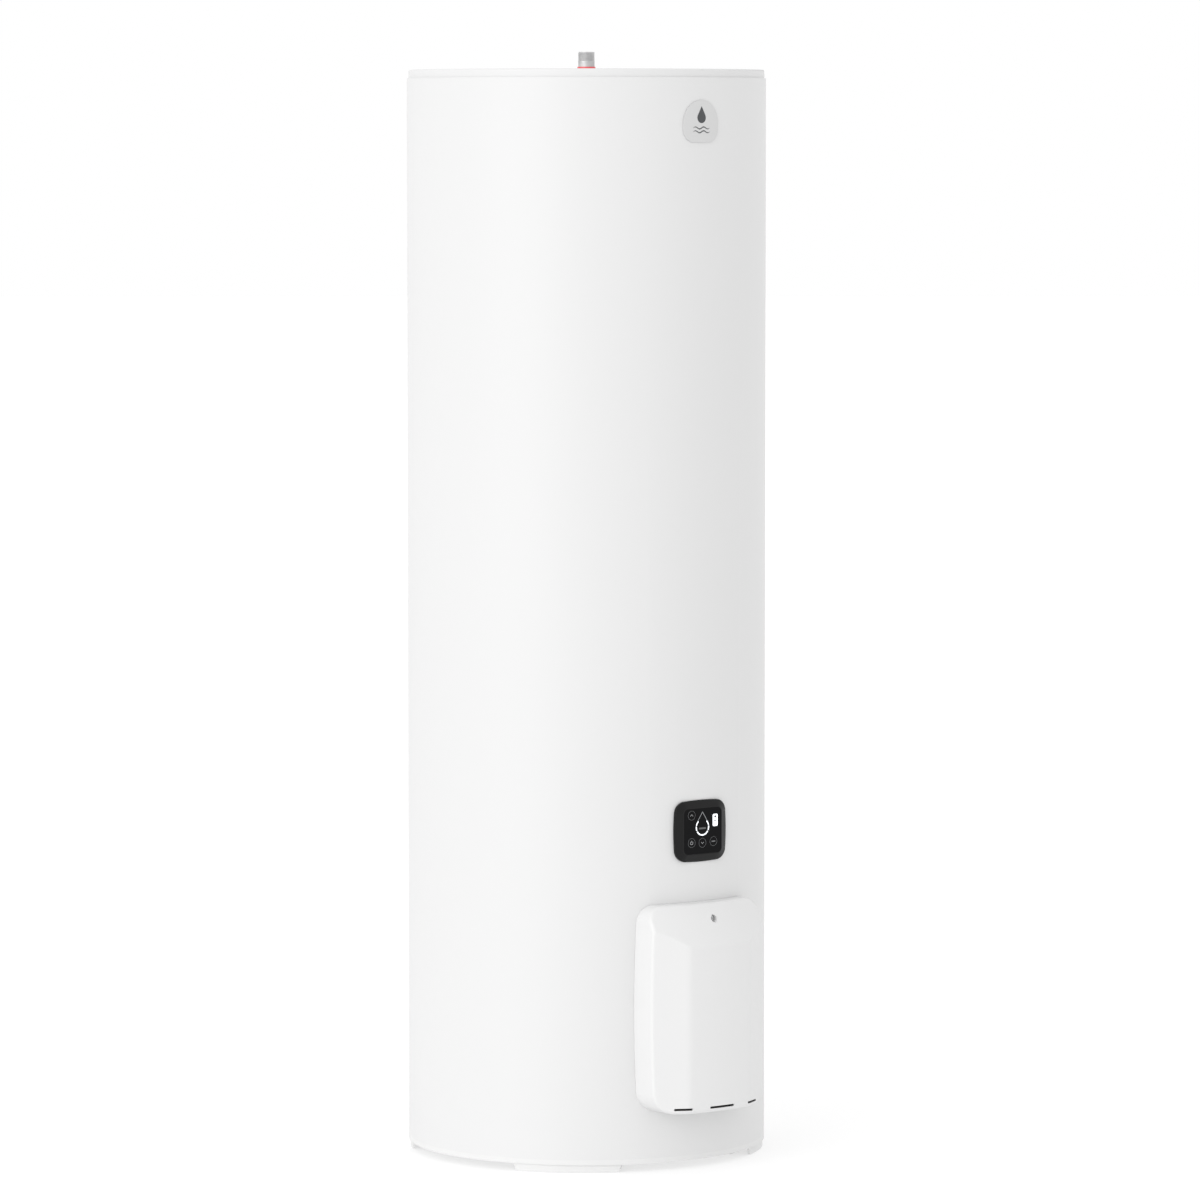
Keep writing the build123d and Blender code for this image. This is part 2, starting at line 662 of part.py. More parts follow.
def bay_frame():
    """Moulded sleeve from casing to tank, a lip on the casing and the boss for the cover's screw."""
    sleeve = bay_prism(0, TANK_R - 30, CASING_R + SEAT + LIP_T) & tube_wall(
        TANK_R + SEAT, CASING_R + SEAT + LIP_T, BAY_Z0 - 5, BAY_Z1 + 5)
    lip = slab(BAY_HALF_W + LIP_MARGIN, BAY_Z0 - LIP_BOTTOM_MARGIN, BAY_Z1 + LIP_TOP_MARGIN, TANK_R, FAR,
               BAY_CORNER_R + LIP_MARGIN)
    lip &= tube_wall(CASING_R + SEAT, CASING_R + SEAT + LIP_T, BAY_Z0 - 50, BAY_Z1 + 50)
    frame = sleeve + lip - bay_prism(BAY_WALL, 0, FAR)
    boss_end = CASING_R + SEAT + BOSS_H
    frame += rod(0, COVER_SCREW_Z, CASING_R + 1, boss_end, BOSS_R)
    frame -= rod(0, COVER_SCREW_Z, CASING_R + 2, boss_end + 1, SCREW_SHANK_R + SEAT)
    for x, z in lip_screw_places():
        frame -= rod(x, z, TANK_R, FAR, LIP_SCREW_R + SCREW_PLAY)
    bushing = upright(CONDUIT_X, -conduit_n(), BAY_Z1 - 5, BAY_Z1 + 5, CONDUIT_R + SEAT)
    return frame - bushing


def bay_frame_screws():
    """Pan-head screws that hold the lip; their threads end in the casing sheet."""
    lip_r = CASING_R + SEAT + LIP_T
    screws = []
    for x, z in lip_screw_places():
        n = sqrt(lip_r ** 2 - (abs(x) - 2 * LIP_SCREW_R) ** 2) + 0.1
        screws.append(rod(x, z, n - LIP_SCREW_L, n, LIP_SCREW_R) + rod(x, z, n, n + 1.8, 2 * LIP_SCREW_R))
    return screws


def power_box():
    """Open tray between the bay's side walls, with a partition and notches for the wires."""
    tray = block(-BOX_HALF_W, BOX_HALF_W, BOX_BACK_N, BOX_FRONT_N, BOX_Z0, BOX_Z1)
    inside = BOX_HALF_W - BOX_WALL
    z0, z1 = BOX_Z0 + BOX_WALL, BOX_Z1 - BOX_WALL
    tray -= block(-inside, PARTITION_X - BOX_WALL / 2, BOX_BACK_N + BOX_WALL, FAR, z0, z1)
    tray -= block(PARTITION_X + BOX_WALL / 2, inside, BOX_BACK_N + BOX_WALL, FAR, z0, z1)
    tray -= block(PARTITION_X + 8, inside - 6, BOX_BACK_N + 14, FAR, BOX_Z0 - 1, z0 + 1)
    tray -= upright(CONDUIT_X, -conduit_n(), BOX_Z1 - 5, BOX_Z1 + 5, CABLE_R + 1)
    for x, z in standoff_places():
        tray += rod(x, z, BOX_BACK_N + 1, BOX_BACK_N + BOX_WALL + BOARD_STANDOFF, 3)
    return tray


def board_limits():
    """Edges of the power board: x0, x1, z0, z1."""
    return (-BOX_HALF_W + BOX_WALL + 3, PARTITION_X - BOX_WALL / 2 - 3, BOX_Z0 + BOX_WALL + 3,
            BOX_Z1 - BOX_WALL - 3)


def standoff_places():
    """Corners of the power board."""
    x0, x1, z0, z1 = board_limits()
    return [(x, z) for x in (x0 + 5, x1 - 5) for z in (z0 + 5, z1 - 5)]


def board_n():
    """Back face of the power board."""
    return BOX_BACK_N + BOX_WALL + BOARD_STANDOFF


def conduit_n():
    """The panel's cable runs straight up in front of the power board."""
    return board_n() + BOARD_T + 3


def power_board():
    """Relay board on its standoffs."""
    x0, x1, z0, z1 = board_limits()
    return block(x0, x1, board_n(), board_n() + BOARD_T, z0, z1)


def board_parts():
    """Relay, transformer, capacitor and the socket of the panel cable."""
    n = board_n() + BOARD_T
    x0, x1, z0, z1 = board_limits()
    relay = block(x0 + 10, x0 + 28, n, n + 15, z0 + 12, z0 + 41)
    transformer = block(x0 + 34, x0 + 58, n, n + 18, z0 + 12, z0 + 34)
    capacitor = rod(x0 + 19, z0 + 56, n, n + 14, 7)
    socket = block(CONDUIT_X - 5, CONDUIT_X + 5, n, n + 6, z1 - 16, z1 - 4)
    return [relay, transformer, capacitor, socket]


def power_box_lid():
    """Lid over the board's side of the box."""
    lid = block(-BOX_HALF_W, PARTITION_X, BOX_FRONT_N, BOX_FRONT_N + LID_T, BOX_Z0, BOX_Z1)
    for i in range(6):
        z = BOX_Z0 + 24 + 8 * i
        lid -= block(-58, -22, BOX_FRONT_N - 1, FAR, z, z + 2.4)
    return lid


def compartment_x():
    """Middle of the installer's side of the box."""
    return (PARTITION_X + BOX_HALF_W) / 2


def thermostat_z():
    """Middle height of the safety thermostat."""
    return BOX_Z1 - BOX_WALL - 1.5 - THERMOSTAT_H / 2


def thermostat_front():
    """Front face of the safety thermostat."""
    return BOX_BACK_N + BOX_WALL + THERMOSTAT_D


def safety_thermostat():
    """Cut-out with a bored collar for its reset button."""
    x, z = compartment_x(), thermostat_z()
    n = thermostat_front()
    body = block(x - THERMOSTAT_W / 2, x + THERMOSTAT_W / 2, BOX_BACK_N + BOX_WALL, n, z - THERMOSTAT_H / 2,
                 z + THERMOSTAT_H / 2)
    body += rod(x, z, n - 1, n + 3, BUTTON_R + 2.5)
    return body - rod(x, z, n - 8, FAR, BUTTON_R + RUNNING_FIT)


def reset_button():
    """Pin that is pushed in to reset the cut-out."""
    n = thermostat_front()
    end = n + 3 + BUTTON_PROUD
    return rod(compartment_x(), thermostat_z(), n - 8 + BUTTON_TRAVEL + 1, end, BUTTON_R)


def block_z():
    """Middle height of the terminal block."""
    return BOX_Z0 + BOX_WALL + 3 + BLOCK_H / 2


def pole_places():
    """Poles of the terminal block, left to right."""
    return [compartment_x() + POLE_PITCH * i for i in (-1, 0, 1)]


def terminal_block():
    """Three-pole block with screw wells in front."""
    x, z = compartment_x(), block_z()
    n1 = BOX_BACK_N + BOX_WALL + BLOCK_D
    body = block(x - BLOCK_W / 2, x + BLOCK_W / 2, BOX_BACK_N + BOX_WALL, n1, z - BLOCK_H / 2, z + BLOCK_H / 2)
    for px in pole_places():
        for dz in (-6, 6):
            body -= rod(px, z + dz, n1 - 7, n1 + 1, 3.4)
    return body


def terminal_screws():
    """Clamping screws in the wells."""
    n1 = BOX_BACK_N + BOX_WALL + BLOCK_D
    return [rod(px, block_z() + dz, n1 - 7, n1 - 2, 3.1) for px in pole_places() for dz in (-6, 6)]


def box_wire(pole, ending):
    """Wire from the block's lower face, out in front of the flange and in to its ending."""
    x, z_top = pole_places()[pole], block_z() - BLOCK_H / 2
    n = BOX_BACK_N + BOX_WALL + BLOCK_D - 5
    ex, en, ez = ending
    middle = (z_top + ez) / 2
    return lead([(x, -n, z_top), (x, -n, z_top - 16), (ex, -en - 18, middle), (ex, -en - 18, ez),
                 (ex, -en, ez)], LEAD_R)


def live_lead():
    """Live wire to the element."""
    return box_wire(0, (blade_places()[0], PLATE_FRONT_N + CERAMIC_HEAD_T + BLADE_L, FLANGE_Z))


def neutral_lead():
    """Neutral wire to the element."""
    return box_wire(1, (blade_places()[1], PLATE_FRONT_N + CERAMIC_HEAD_T + BLADE_L, FLANGE_Z))


def earth_lead():
    """Earth wire to the plate's screw."""
    x, z = earth_place()
    return box_wire(2, (x, PLATE_FRONT_N + SCREW_HEAD_H, z))


def safety_probe():
    """Sensing rod in the pocket with its lead up into the thermostat's compartment."""
    z = FLANGE_Z + POCKET_DZ
    n0 = PLATE_FRONT_N - POCKET_L + 10
    bulb = rod(ANODE_X, z, n0, n0 + PROBE_L, POCKET_R - POCKET_T - SEAT)
    n_front = PLATE_FRONT_N + 22
    tail = lead([(ANODE_X, -n0 - PROBE_L + 1, z), (ANODE_X, -n_front, z), (PROBE_LEAD_X, -n_front - 8, z + 26),
                 (PROBE_LEAD_X, -n_front, BOX_Z0 - 14), (PROBE_LEAD_X, -BOX_BACK_N - 24, BOX_Z0 + 2)],
                PROBE_LEAD_R)
    return bulb + tail


def clamp_faces():
    """Distances before the axis of the saddle's back, the pinch plane and the bar's front."""
    back = sqrt((CASING_R + SEAT + LIP_T) ** 2 - (CLAMP_X - CLAMP_HALF_W) ** 2) + SEAT / 2
    return back, back + CLAMP_BASE_D, back + CLAMP_BASE_D + CLAMP_BAR_D


def clamp_z():
    """Middle height of the strain relief, on the lip below the bay."""
    return BAY_Z0 - LIP_BOTTOM_MARGIN / 2


def clamp_screw_places():
    """Screws at both ends of the strain relief."""
    return [CLAMP_X - CLAMP_HALF_W + 4, CLAMP_X + CLAMP_HALF_W - 4]


def clamp_base():
    """Saddle of the supply cable's strain relief, shaped to the lip behind it."""
    back, pinch, bar = clamp_faces()
    z = clamp_z()
    saddle = block(CLAMP_X - CLAMP_HALF_W, CLAMP_X + CLAMP_HALF_W, back - 12, pinch, z - 5, z + 5)
    saddle -= Pos(0, 0, z - 20) * extrude(Circle(CASING_R + SEAT + LIP_T + SEAT / 2), 40)
    saddle -= upright(CLAMP_X, -pinch - 2, z - 6, z + 6, 4)
    for x in clamp_screw_places():
        saddle -= rod(x, z, pinch - 6, bar, 1.5 + SCREW_PLAY / 2)
    return saddle


def clamp_bar():
    """Bar screwed down on the saddle."""
    back, pinch, bar = clamp_faces()
    z = clamp_z()
    shape = block(CLAMP_X - CLAMP_HALF_W, CLAMP_X + CLAMP_HALF_W, pinch, bar, z - 4, z + 4)
    for x in clamp_screw_places():
        shape -= rod(x, z, pinch - 1, bar + 1, 1.5 + SCREW_PLAY)
    return shape


def clamp_screws():
    """Two pan-head screws."""
    back, pinch, bar = clamp_faces()
    return [rod(x, clamp_z(), pinch - 5, bar + 0.1, 1.5) + rod(x, clamp_z(), bar, bar + 2, 3)
            for x in clamp_screw_places()]


# ---------------------------------------------------------------- control panel

def panel_outline(grow):
    """Square with bowed sides and round corners."""
    w, h, b, r = PANEL_HALF_W + grow, PANEL_HALF_H + grow, PANEL_BOW, PANEL_CORNER_R + grow
    with BuildSketch() as outline:
        with BuildLine():
            ThreePointArc((-w + b, -h + b), (-w, 0), (-w + b, h - b))
            ThreePointArc((-w + b, h - b), (0, h), (w - b, h - b))
            ThreePointArc((w - b, h - b), (w, 0), (w - b, -h + b))
            ThreePointArc((w - b, -h + b), (0, -h), (-w + b, -h + b))
        make_face()
        fillet(outline.vertices(), r)
    return outline.sketch


def panel_bezel():
    """Glossy frame: chamfered face, open window for the screen and a skirt into the casing."""
    edge = front(0, PANEL_EDGE_N, PANEL_Z) * panel_outline(0)
    inner = front(0, PANEL_FRONT_N, PANEL_Z) * RectangleRounded(2 * SCREEN_HALF_W + 3, 2 * SCREEN_HALF_H + 3,
                                                                SCREEN_CORNER_R + 1.5)
    bezel = front(0, TANK_R, PANEL_Z) * extrude(panel_outline(0), PANEL_EDGE_N - TANK_R)
    bezel += loft([edge.face(), inner.face()])
    bezel -= Pos(0, 0, PANEL_Z - 100) * extrude(Circle(CASING_R + SEAT), 200)
    bezel += slab(HOUSING_HALF_W, PANEL_Z - HOUSING_HALF_H, PANEL_Z + HOUSING_HALF_H, HOUSING_FRONT_N,
                  PANEL_EDGE_N, HOUSING_CORNER_R)
    bezel -= slab(HOUSING_HALF_W - HOUSING_WALL, PANEL_Z - HOUSING_HALF_H + HOUSING_WALL,
                  PANEL_Z + HOUSING_HALF_H - HOUSING_WALL, HOUSING_FRONT_N - 1, screen_back(), HOUSING_CORNER_R - 2)
    return bezel - slab(SCREEN_HALF_W, PANEL_Z - SCREEN_HALF_H, PANEL_Z + SCREEN_HALF_H, HOUSING_FRONT_N - 1, FAR,
                        SCREEN_CORNER_R)


def screen_back():
    """Back face of the screen."""
    return PANEL_FRONT_N - SCREEN_RECESS - SCREEN_T


def panel_glass():
    """Flat dark screen in the bezel's window."""
    return slab(SCREEN_HALF_W - SEAT / 2, PANEL_Z - SCREEN_HALF_H + SEAT / 2, PANEL_Z + SCREEN_HALF_H - SEAT / 2,
                screen_back(), PANEL_FRONT_N - SCREEN_RECESS, SCREEN_CORNER_R - SEAT / 2)


def panel_housing():
    """Tray sunk into the foam behind the bezel."""
    z0, z1 = PANEL_Z - HOUSING_HALF_H, PANEL_Z + HOUSING_HALF_H
    tray = slab(HOUSING_HALF_W, z0, z1, HOUSING_BACK_N, HOUSING_FRONT_N, HOUSING_CORNER_R)
    tray -= slab(HOUSING_HALF_W - HOUSING_WALL, z0 + HOUSING_WALL, z1 - HOUSING_WALL, HOUSING_BACK_N + HOUSING_WALL,
                 FAR, HOUSING_CORNER_R - HOUSING_WALL)
    for x in (-1, 1):
        for z in (-1, 1):
            tray += rod(x * (HOUSING_HALF_W - 9), PANEL_Z + z * (HOUSING_HALF_H - 9), HOUSING_BACK_N + 1,
                        panel_board_n(), 2.6)
    return tray - upright(CONDUIT_X, -conduit_n(), z0 - 2, z0 + HOUSING_WALL + 1, CONDUIT_R + SEAT)


def panel_board_n():
    """Back face of the panel board."""
    return HOUSING_FRONT_N + 1


def panel_board():
    """Board behind the screen."""
    half_w, half_h = HOUSING_HALF_W - HOUSING_WALL - 3, HOUSING_HALF_H - HOUSING_WALL - 3
    return slab(half_w, PANEL_Z - half_h, PANEL_Z + half_h, panel_board_n(), panel_board_n() + BOARD_T, 4)


def display_parts():
    """Light guide between board and screen, and the cable's socket behind the board."""
    n = panel_board_n() + BOARD_T
    guide = slab(SCREEN_HALF_W - 6, PANEL_Z - SCREEN_HALF_H + 6, PANEL_Z + SCREEN_HALF_H - 6, n, screen_back(), 4)
    z = cable_top()
    socket = block(CONDUIT_X - 5, CONDUIT_X + 5, conduit_n() - 4, panel_board_n(), z, z + 9)
    return [guide, socket]


def cable_top():
    """Height where the panel cable meets its socket."""
    return PANEL_Z - HOUSING_HALF_H + HOUSING_WALL + 8


def panel_conduit():
    """Plastic tube through the foam from the bay to the panel."""
    z0, z1 = BAY_Z1 - BAY_WALL - 1, PANEL_Z - HOUSING_HALF_H + HOUSING_WALL
    return upright(CONDUIT_X, -conduit_n(), z0, z1, CONDUIT_R) - upright(CONDUIT_X, -conduit_n(), z0 - 1, z1 + 1,
                                                                       CONDUIT_R - CONDUIT_WALL)


def panel_cable():
    """Cable from the power board's socket to the panel's."""
    return upright(CONDUIT_X, -conduit_n(), board_limits()[3] - 4, cable_top(), CABLE_R)


# ---------------------------------------------------------------- service cover

def cover_outline(inset):
    """Front view: upright rectangle with bowed sides and round corners."""
    w, b = COVER_HALF_W - inset, COVER_BOW
    z0, z1 = COVER_Z0 + inset, COVER_Z1 - inset
    middle = (z0 + z1) / 2
    with BuildSketch(Plane.XZ) as outline:
        with BuildLine():
            Line((-w + b, z0), (w - b, z0))
            ThreePointArc((w - b, z0), (w, middle), (w - b, z1))
            Line((w - b, z1), (-w + b, z1))
            ThreePointArc((-w + b, z1), (-w, middle), (-w + b, z0))
        make_face()
        fillet(outline.vertices().sort_by(Axis.Y)[2:], COVER_TOP_CORNER_R - inset)
        fillet(outline.vertices().sort_by(Axis.Y)[:2], COVER_BOTTOM_CORNER_R - inset)
    return outline.sketch


def cover_plan(inset):
    """Plan view: upright sides, two flats and a face concentric with the casing between two ridges."""
    w, n, r = COVER_HALF_W, COVER_SIDE_N, COVER_R
    ridge_n = sqrt(r ** 2 - COVER_RIDGE_HALF_W ** 2)
    with BuildSketch() as plan:
        with BuildLine():
            Polyline((-COVER_RIDGE_HALF_W, -ridge_n), (-w, -n), (-w - 9, -n), (-w - 9, -TANK_R + 30),
                     (w + 9, -TANK_R + 30), (w + 9, -n), (w, -n), (COVER_RIDGE_HALF_W, -ridge_n))
            ThreePointArc((COVER_RIDGE_HALF_W, -ridge_n), (0, -r), (-COVER_RIDGE_HALF_W, -ridge_n))
        make_face()
        if inset:
            offset(amount=-inset, kind=Kind.INTERSECTION, mode=Mode.REPLACE)
    return plan.sketch


def cover_form(inset):
    """The cover's filled outer form, or the hollow inside it when inset is the wall."""
    form = extrude(cover_outline(inset), FAR)
    form &= Pos(0, 0, COVER_Z0 - 20) * extrude(cover_plan(inset), COVER_H + 40)
    slope = tan(radians(COVER_SLOPE_DEG))
    r = COVER_R - inset
    top = COVER_CREASE_Z + (r - TANK_R / 2) / slope
    lean = 40 / slope
    cone = Polygon((0, COVER_Z0 - 30), (r + 40, COVER_Z0 - 30), (r + 40, COVER_CREASE_Z - lean),
                   (TANK_R / 2, top), (0, top), align=None)
    form &= revolve(Plane.XZ * cone, Axis.Z)
    form = fillet(cover_ridges(form), COVER_RIDGE_FILLET - inset)
    form = fillet(cover_crease(form), COVER_CREASE_FILLET - inset)
    return fillet(cover_rim(form), COVER_EDGE_FILLET - inset)


def cover_ridges(form):
    """The two upright edges beside the cover's face."""
    return [e for e in form.edges() if abs(abs(e.center().X) - COVER_RIDGE_HALF_W) < 3 and e.length > COVER_H / 2]


def cover_crease(form):
    """The edge where the face and the flats turn back towards the casing."""
    curves = (GeomType.BSPLINE, GeomType.HYPERBOLA)
    low, high, n = COVER_CREASE_Z - 4, COVER_CREASE_Z + 22, COVER_SIDE_N + 8
    return [e for e in form.edges() if e.geom_type in curves and low < e.center().Z < high and -e.center().Y > n]


def cover_rim(form):
    """The edges between the upright walls and everything in front of them."""
    facing = [(face, face.normal_at(face.center()).Y) for face in form.faces()]
    front_edges = [e for face, lean in facing if lean < -0.05 for e in face.edges()]
    side_edges = [e for face, lean in facing if abs(lean) < 0.02 for e in face.edges()]
    return [e for e in side_edges if any(e.is_same(f) for f in front_edges)]


def service_cover():
    """Moulded shell with a screw pillar, air slots and two tongues that hook behind the casing."""
    outer = cover_form(0)
    cover = outer - cover_form(COVER_WALL)
    pillar = rod(0, COVER_SCREW_Z, PILLAR_END_N, FAR, COVER_PILLAR_R) & outer
    pocket = rod(0, COVER_SCREW_Z, COVER_POCKET_FLOOR_N, FAR, COVER_POCKET_R)
    cover = cover + pillar - pocket
    cover -= rod(0, COVER_SCREW_Z, 0, FAR, SCREW_SHANK_R + RUNNING_FIT)
    spans = [(-SLOT_SIDE_TO, -SLOT_SIDE_FROM), (-SLOT_CENTRE_HALF_W, SLOT_CENTRE_HALF_W),
             (SLOT_SIDE_FROM, SLOT_SIDE_TO)]
    for x0, x1 in spans:
        middle, half = (x0 + x1) / 2, (x1 - x0) / 2
        cover -= slab(half, SLOT_Z - SLOT_H / 2, SLOT_Z + SLOT_H / 2, COVER_SIDE_N, FAR, SLOT_H / 2 - 0.1, middle)
    cover -= Pos(0, 0, COVER_Z0 - 20) * extrude(Circle(CASING_R + SEAT), COVER_H + 40)
    for side in (-1, 1):
        cover += hook(side)
    return cover


def hook(side):
    """Tongue on a root that stands on the cover's lower wall."""
    x = side * HOOK_X
    tip_n, root_n = HINGE_N - HOOK_REACH, HINGE_N + 1
    z = COVER_Z0 + HOOK_LIFT
    root = block(x - HOOK_HALF_W, x + HOOK_HALF_W, root_n, root_n + 5, COVER_Z0 + COVER_WALL / 2, z + HOOK_T)
    return root + block(x - HOOK_HALF_W, x + HOOK_HALF_W, tip_n, root_n + 1, z, z + HOOK_T)


def cover_screw():
    """Captive screw with a crossed slot in its head."""
    seat_n = COVER_POCKET_FLOOR_N + 0.1
    screw = rod(0, COVER_SCREW_Z, BOSS_END_N - BOSS_H + 4, seat_n + 1, SCREW_SHANK_R)
    screw += rod(0, COVER_SCREW_Z, seat_n, seat_n + SCREW_HEAD_H, SCREW_HEAD_R)
    for w, h in ((5.2, 1.0), (1.0, 5.2)):
        screw -= block(-w / 2, w / 2, seat_n + SCREW_HEAD_H - 1.6, FAR, COVER_SCREW_Z - h / 2, COVER_SCREW_Z + h / 2)
    return screw


# ---------------------------------------------------------------- everything

def main():
    os.makedirs("parts", exist_ok=True)
    save("base_pan", base_pan())
    save("outer_casing", outer_casing())
    save("top_cover", top_cover())
    save("badge_plate", badge_plate())
    save("insulation_foam", foam())
    save("tank_shell", tank_shell())
    save("tank_top_dome", upper(dome_shell()) - upright(0, 0, TANK_Z1, TOP_Z, THREAD_R + SEAT / 2))
    save("tank_bottom_dome", lower(dome_shell()))
    save("tank_support_ring", support_ring())
    save("hot_outlet_nipple", hot_outlet())
    save("outlet_colour_ring", Pos(0, 0, TOP_Z) * colour_ring())
    save("outlet_grommet", Pos(0, 0, TOP_Z - CAP_T) * grommet(GROMMET_GROOVE, CAP_T - 0.1))
    save("cold_inlet_nipple", cold_inlet())
    save("inlet_colour_ring", radial(INLET_ANGLE, CASING_R + SEAT, INLET_Z) * colour_ring())
    save("inlet_grommet", radial(INLET_ANGLE, CASING_IN_R - 1, INLET_Z) * grommet(GROMMET_GROOVE, CASING_T + 1))
    save("inlet_diffuser", diffuser())
    save("flange_collar", flange_collar())
    save("flange_studs", flange_studs())
    save("flange_gasket", flange_gasket())
    save("flange_plate", flange_plate())
    save("flange_nuts", flange_nuts())
    save("heater_sheath", heater_sheath())
    save("ceramic_element", ceramic_element())
    save("heating_coils", heating_coils())
    save("element_terminals", element_terminals())
    save("anode_rod", anode_rod())
    save("anode_nut", anode_nut())
    save("probe_pocket", probe_pocket())
    save("earth_screw", earth_screw())
    save("bay_frame", bay_frame())
    save("bay_frame_screws", bay_frame_screws())
    save("power_box", power_box())
    save("power_box_lid", power_box_lid())
    save("power_board", power_board())
    save("power_board_parts", board_parts())
    save("safety_thermostat", safety_thermostat())
    save("reset_button", reset_button())
    save("terminal_block", terminal_block())
    save("terminal_screws", terminal_screws())
    save("live_lead", live_lead())
    save("neutral_lead", neutral_lead())
    save("earth_lead", earth_lead())
    save("safety_probe", safety_probe())
    save("cable_clamp_base", clamp_base())
    save("cable_clamp_bar", clamp_bar())
    save("cable_clamp_screws", clamp_screws())
    save("panel_bezel", panel_bezel())
    save("panel_glass", panel_glass())
    save("panel_housing", panel_housing())
    save("panel_board", panel_board())
    save("display_parts", display_parts())
    save("panel_conduit", panel_conduit())
    save("panel_cable", panel_cable())
    save("service_cover", service_cover())
    save("cover_screw", cover_screw())


main()
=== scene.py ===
import math

import bmesh
import bpy
from mathutils import Matrix, Vector


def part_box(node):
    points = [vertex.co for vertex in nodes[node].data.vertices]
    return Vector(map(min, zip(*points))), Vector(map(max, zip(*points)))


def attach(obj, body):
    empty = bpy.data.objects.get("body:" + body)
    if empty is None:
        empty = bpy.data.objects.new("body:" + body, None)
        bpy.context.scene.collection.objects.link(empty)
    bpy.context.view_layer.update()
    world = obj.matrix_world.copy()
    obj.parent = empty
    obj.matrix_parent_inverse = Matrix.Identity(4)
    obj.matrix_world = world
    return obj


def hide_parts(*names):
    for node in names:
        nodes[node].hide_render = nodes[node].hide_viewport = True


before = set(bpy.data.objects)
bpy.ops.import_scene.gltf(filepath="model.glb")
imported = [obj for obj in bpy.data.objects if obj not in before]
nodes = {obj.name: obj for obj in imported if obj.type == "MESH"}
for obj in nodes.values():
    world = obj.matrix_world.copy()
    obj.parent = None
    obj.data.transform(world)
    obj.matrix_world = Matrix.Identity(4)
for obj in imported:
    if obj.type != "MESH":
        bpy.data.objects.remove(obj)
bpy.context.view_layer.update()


# ======================================================================= camera
# The heater is seen from its front left, a little below the top of the casing,
# with a long lens from ten metres, so that its sides stay nearly parallel.

CAMERA_DISTANCE = 9.966
CAMERA_AZIMUTH = -38.6
CAMERA_HEIGHT = 1.643
CAMERA_PITCH = 4.359
CAMERA_YAW = 0.125
CAMERA_LENS = 186.17
CAMERA_SIGHT = 60

camera = bpy.data.objects.new("studio_camera", bpy.data.cameras.new("studio_camera"))
bpy.context.scene.collection.objects.link(camera)
camera.data.lens = CAMERA_LENS
camera.data.clip_end = CAMERA_SIGHT
turn = math.radians(CAMERA_AZIMUTH)
camera.location = (CAMERA_DISTANCE * math.sin(turn), -CAMERA_DISTANCE * math.cos(turn),
                   CAMERA_HEIGHT)
camera.rotation_euler = (math.radians(90 - CAMERA_PITCH), 0, turn - math.radians(CAMERA_YAW))
bpy.context.scene.camera = camera


# ============================================================ base pan with feet
# One injection moulding in white polypropylene: a floor, the rim under the casing,
# four hollow feet and the ring that carries the tank. Its skin is finely grained.

WHITE_MOULDING = (0.715, 0.715, 0.713)
PATCH_SHADE = (0.45, 0.45, 0.44, 1)
PATCH_SPAN = (0.1, 0.9)
GRAIN_DETAIL = 3
PATCH_DETAIL = 1
SKIN_STRENGTH = 0.6
SAME_POINT = 0.000005
EDGE_SEGMENTS = 2
EDGE_ANGLE = 35


def surface_group(name, inputs, outputs):
    """Node group with its named inputs and outputs, still empty."""
    group = bpy.data.node_groups.new(name, "ShaderNodeTree")
    for label, kind, value in inputs:
        socket = group.interface.new_socket(label, in_out="INPUT", socket_type=kind)
        socket.default_value = value
    for label, kind in outputs:
        group.interface.new_socket(label, in_out="OUTPUT", socket_type=kind)
    source = group.nodes.new("NodeGroupInput")
    sink = group.nodes.new("NodeGroupOutput")
    return group, source, sink


def node_in(tree, kind, **settings):
    """New node, with the settings that aren't sockets."""
    node = tree.nodes.new(kind)
    for key, value in settings.items():
        setattr(node, key, value)
    return node


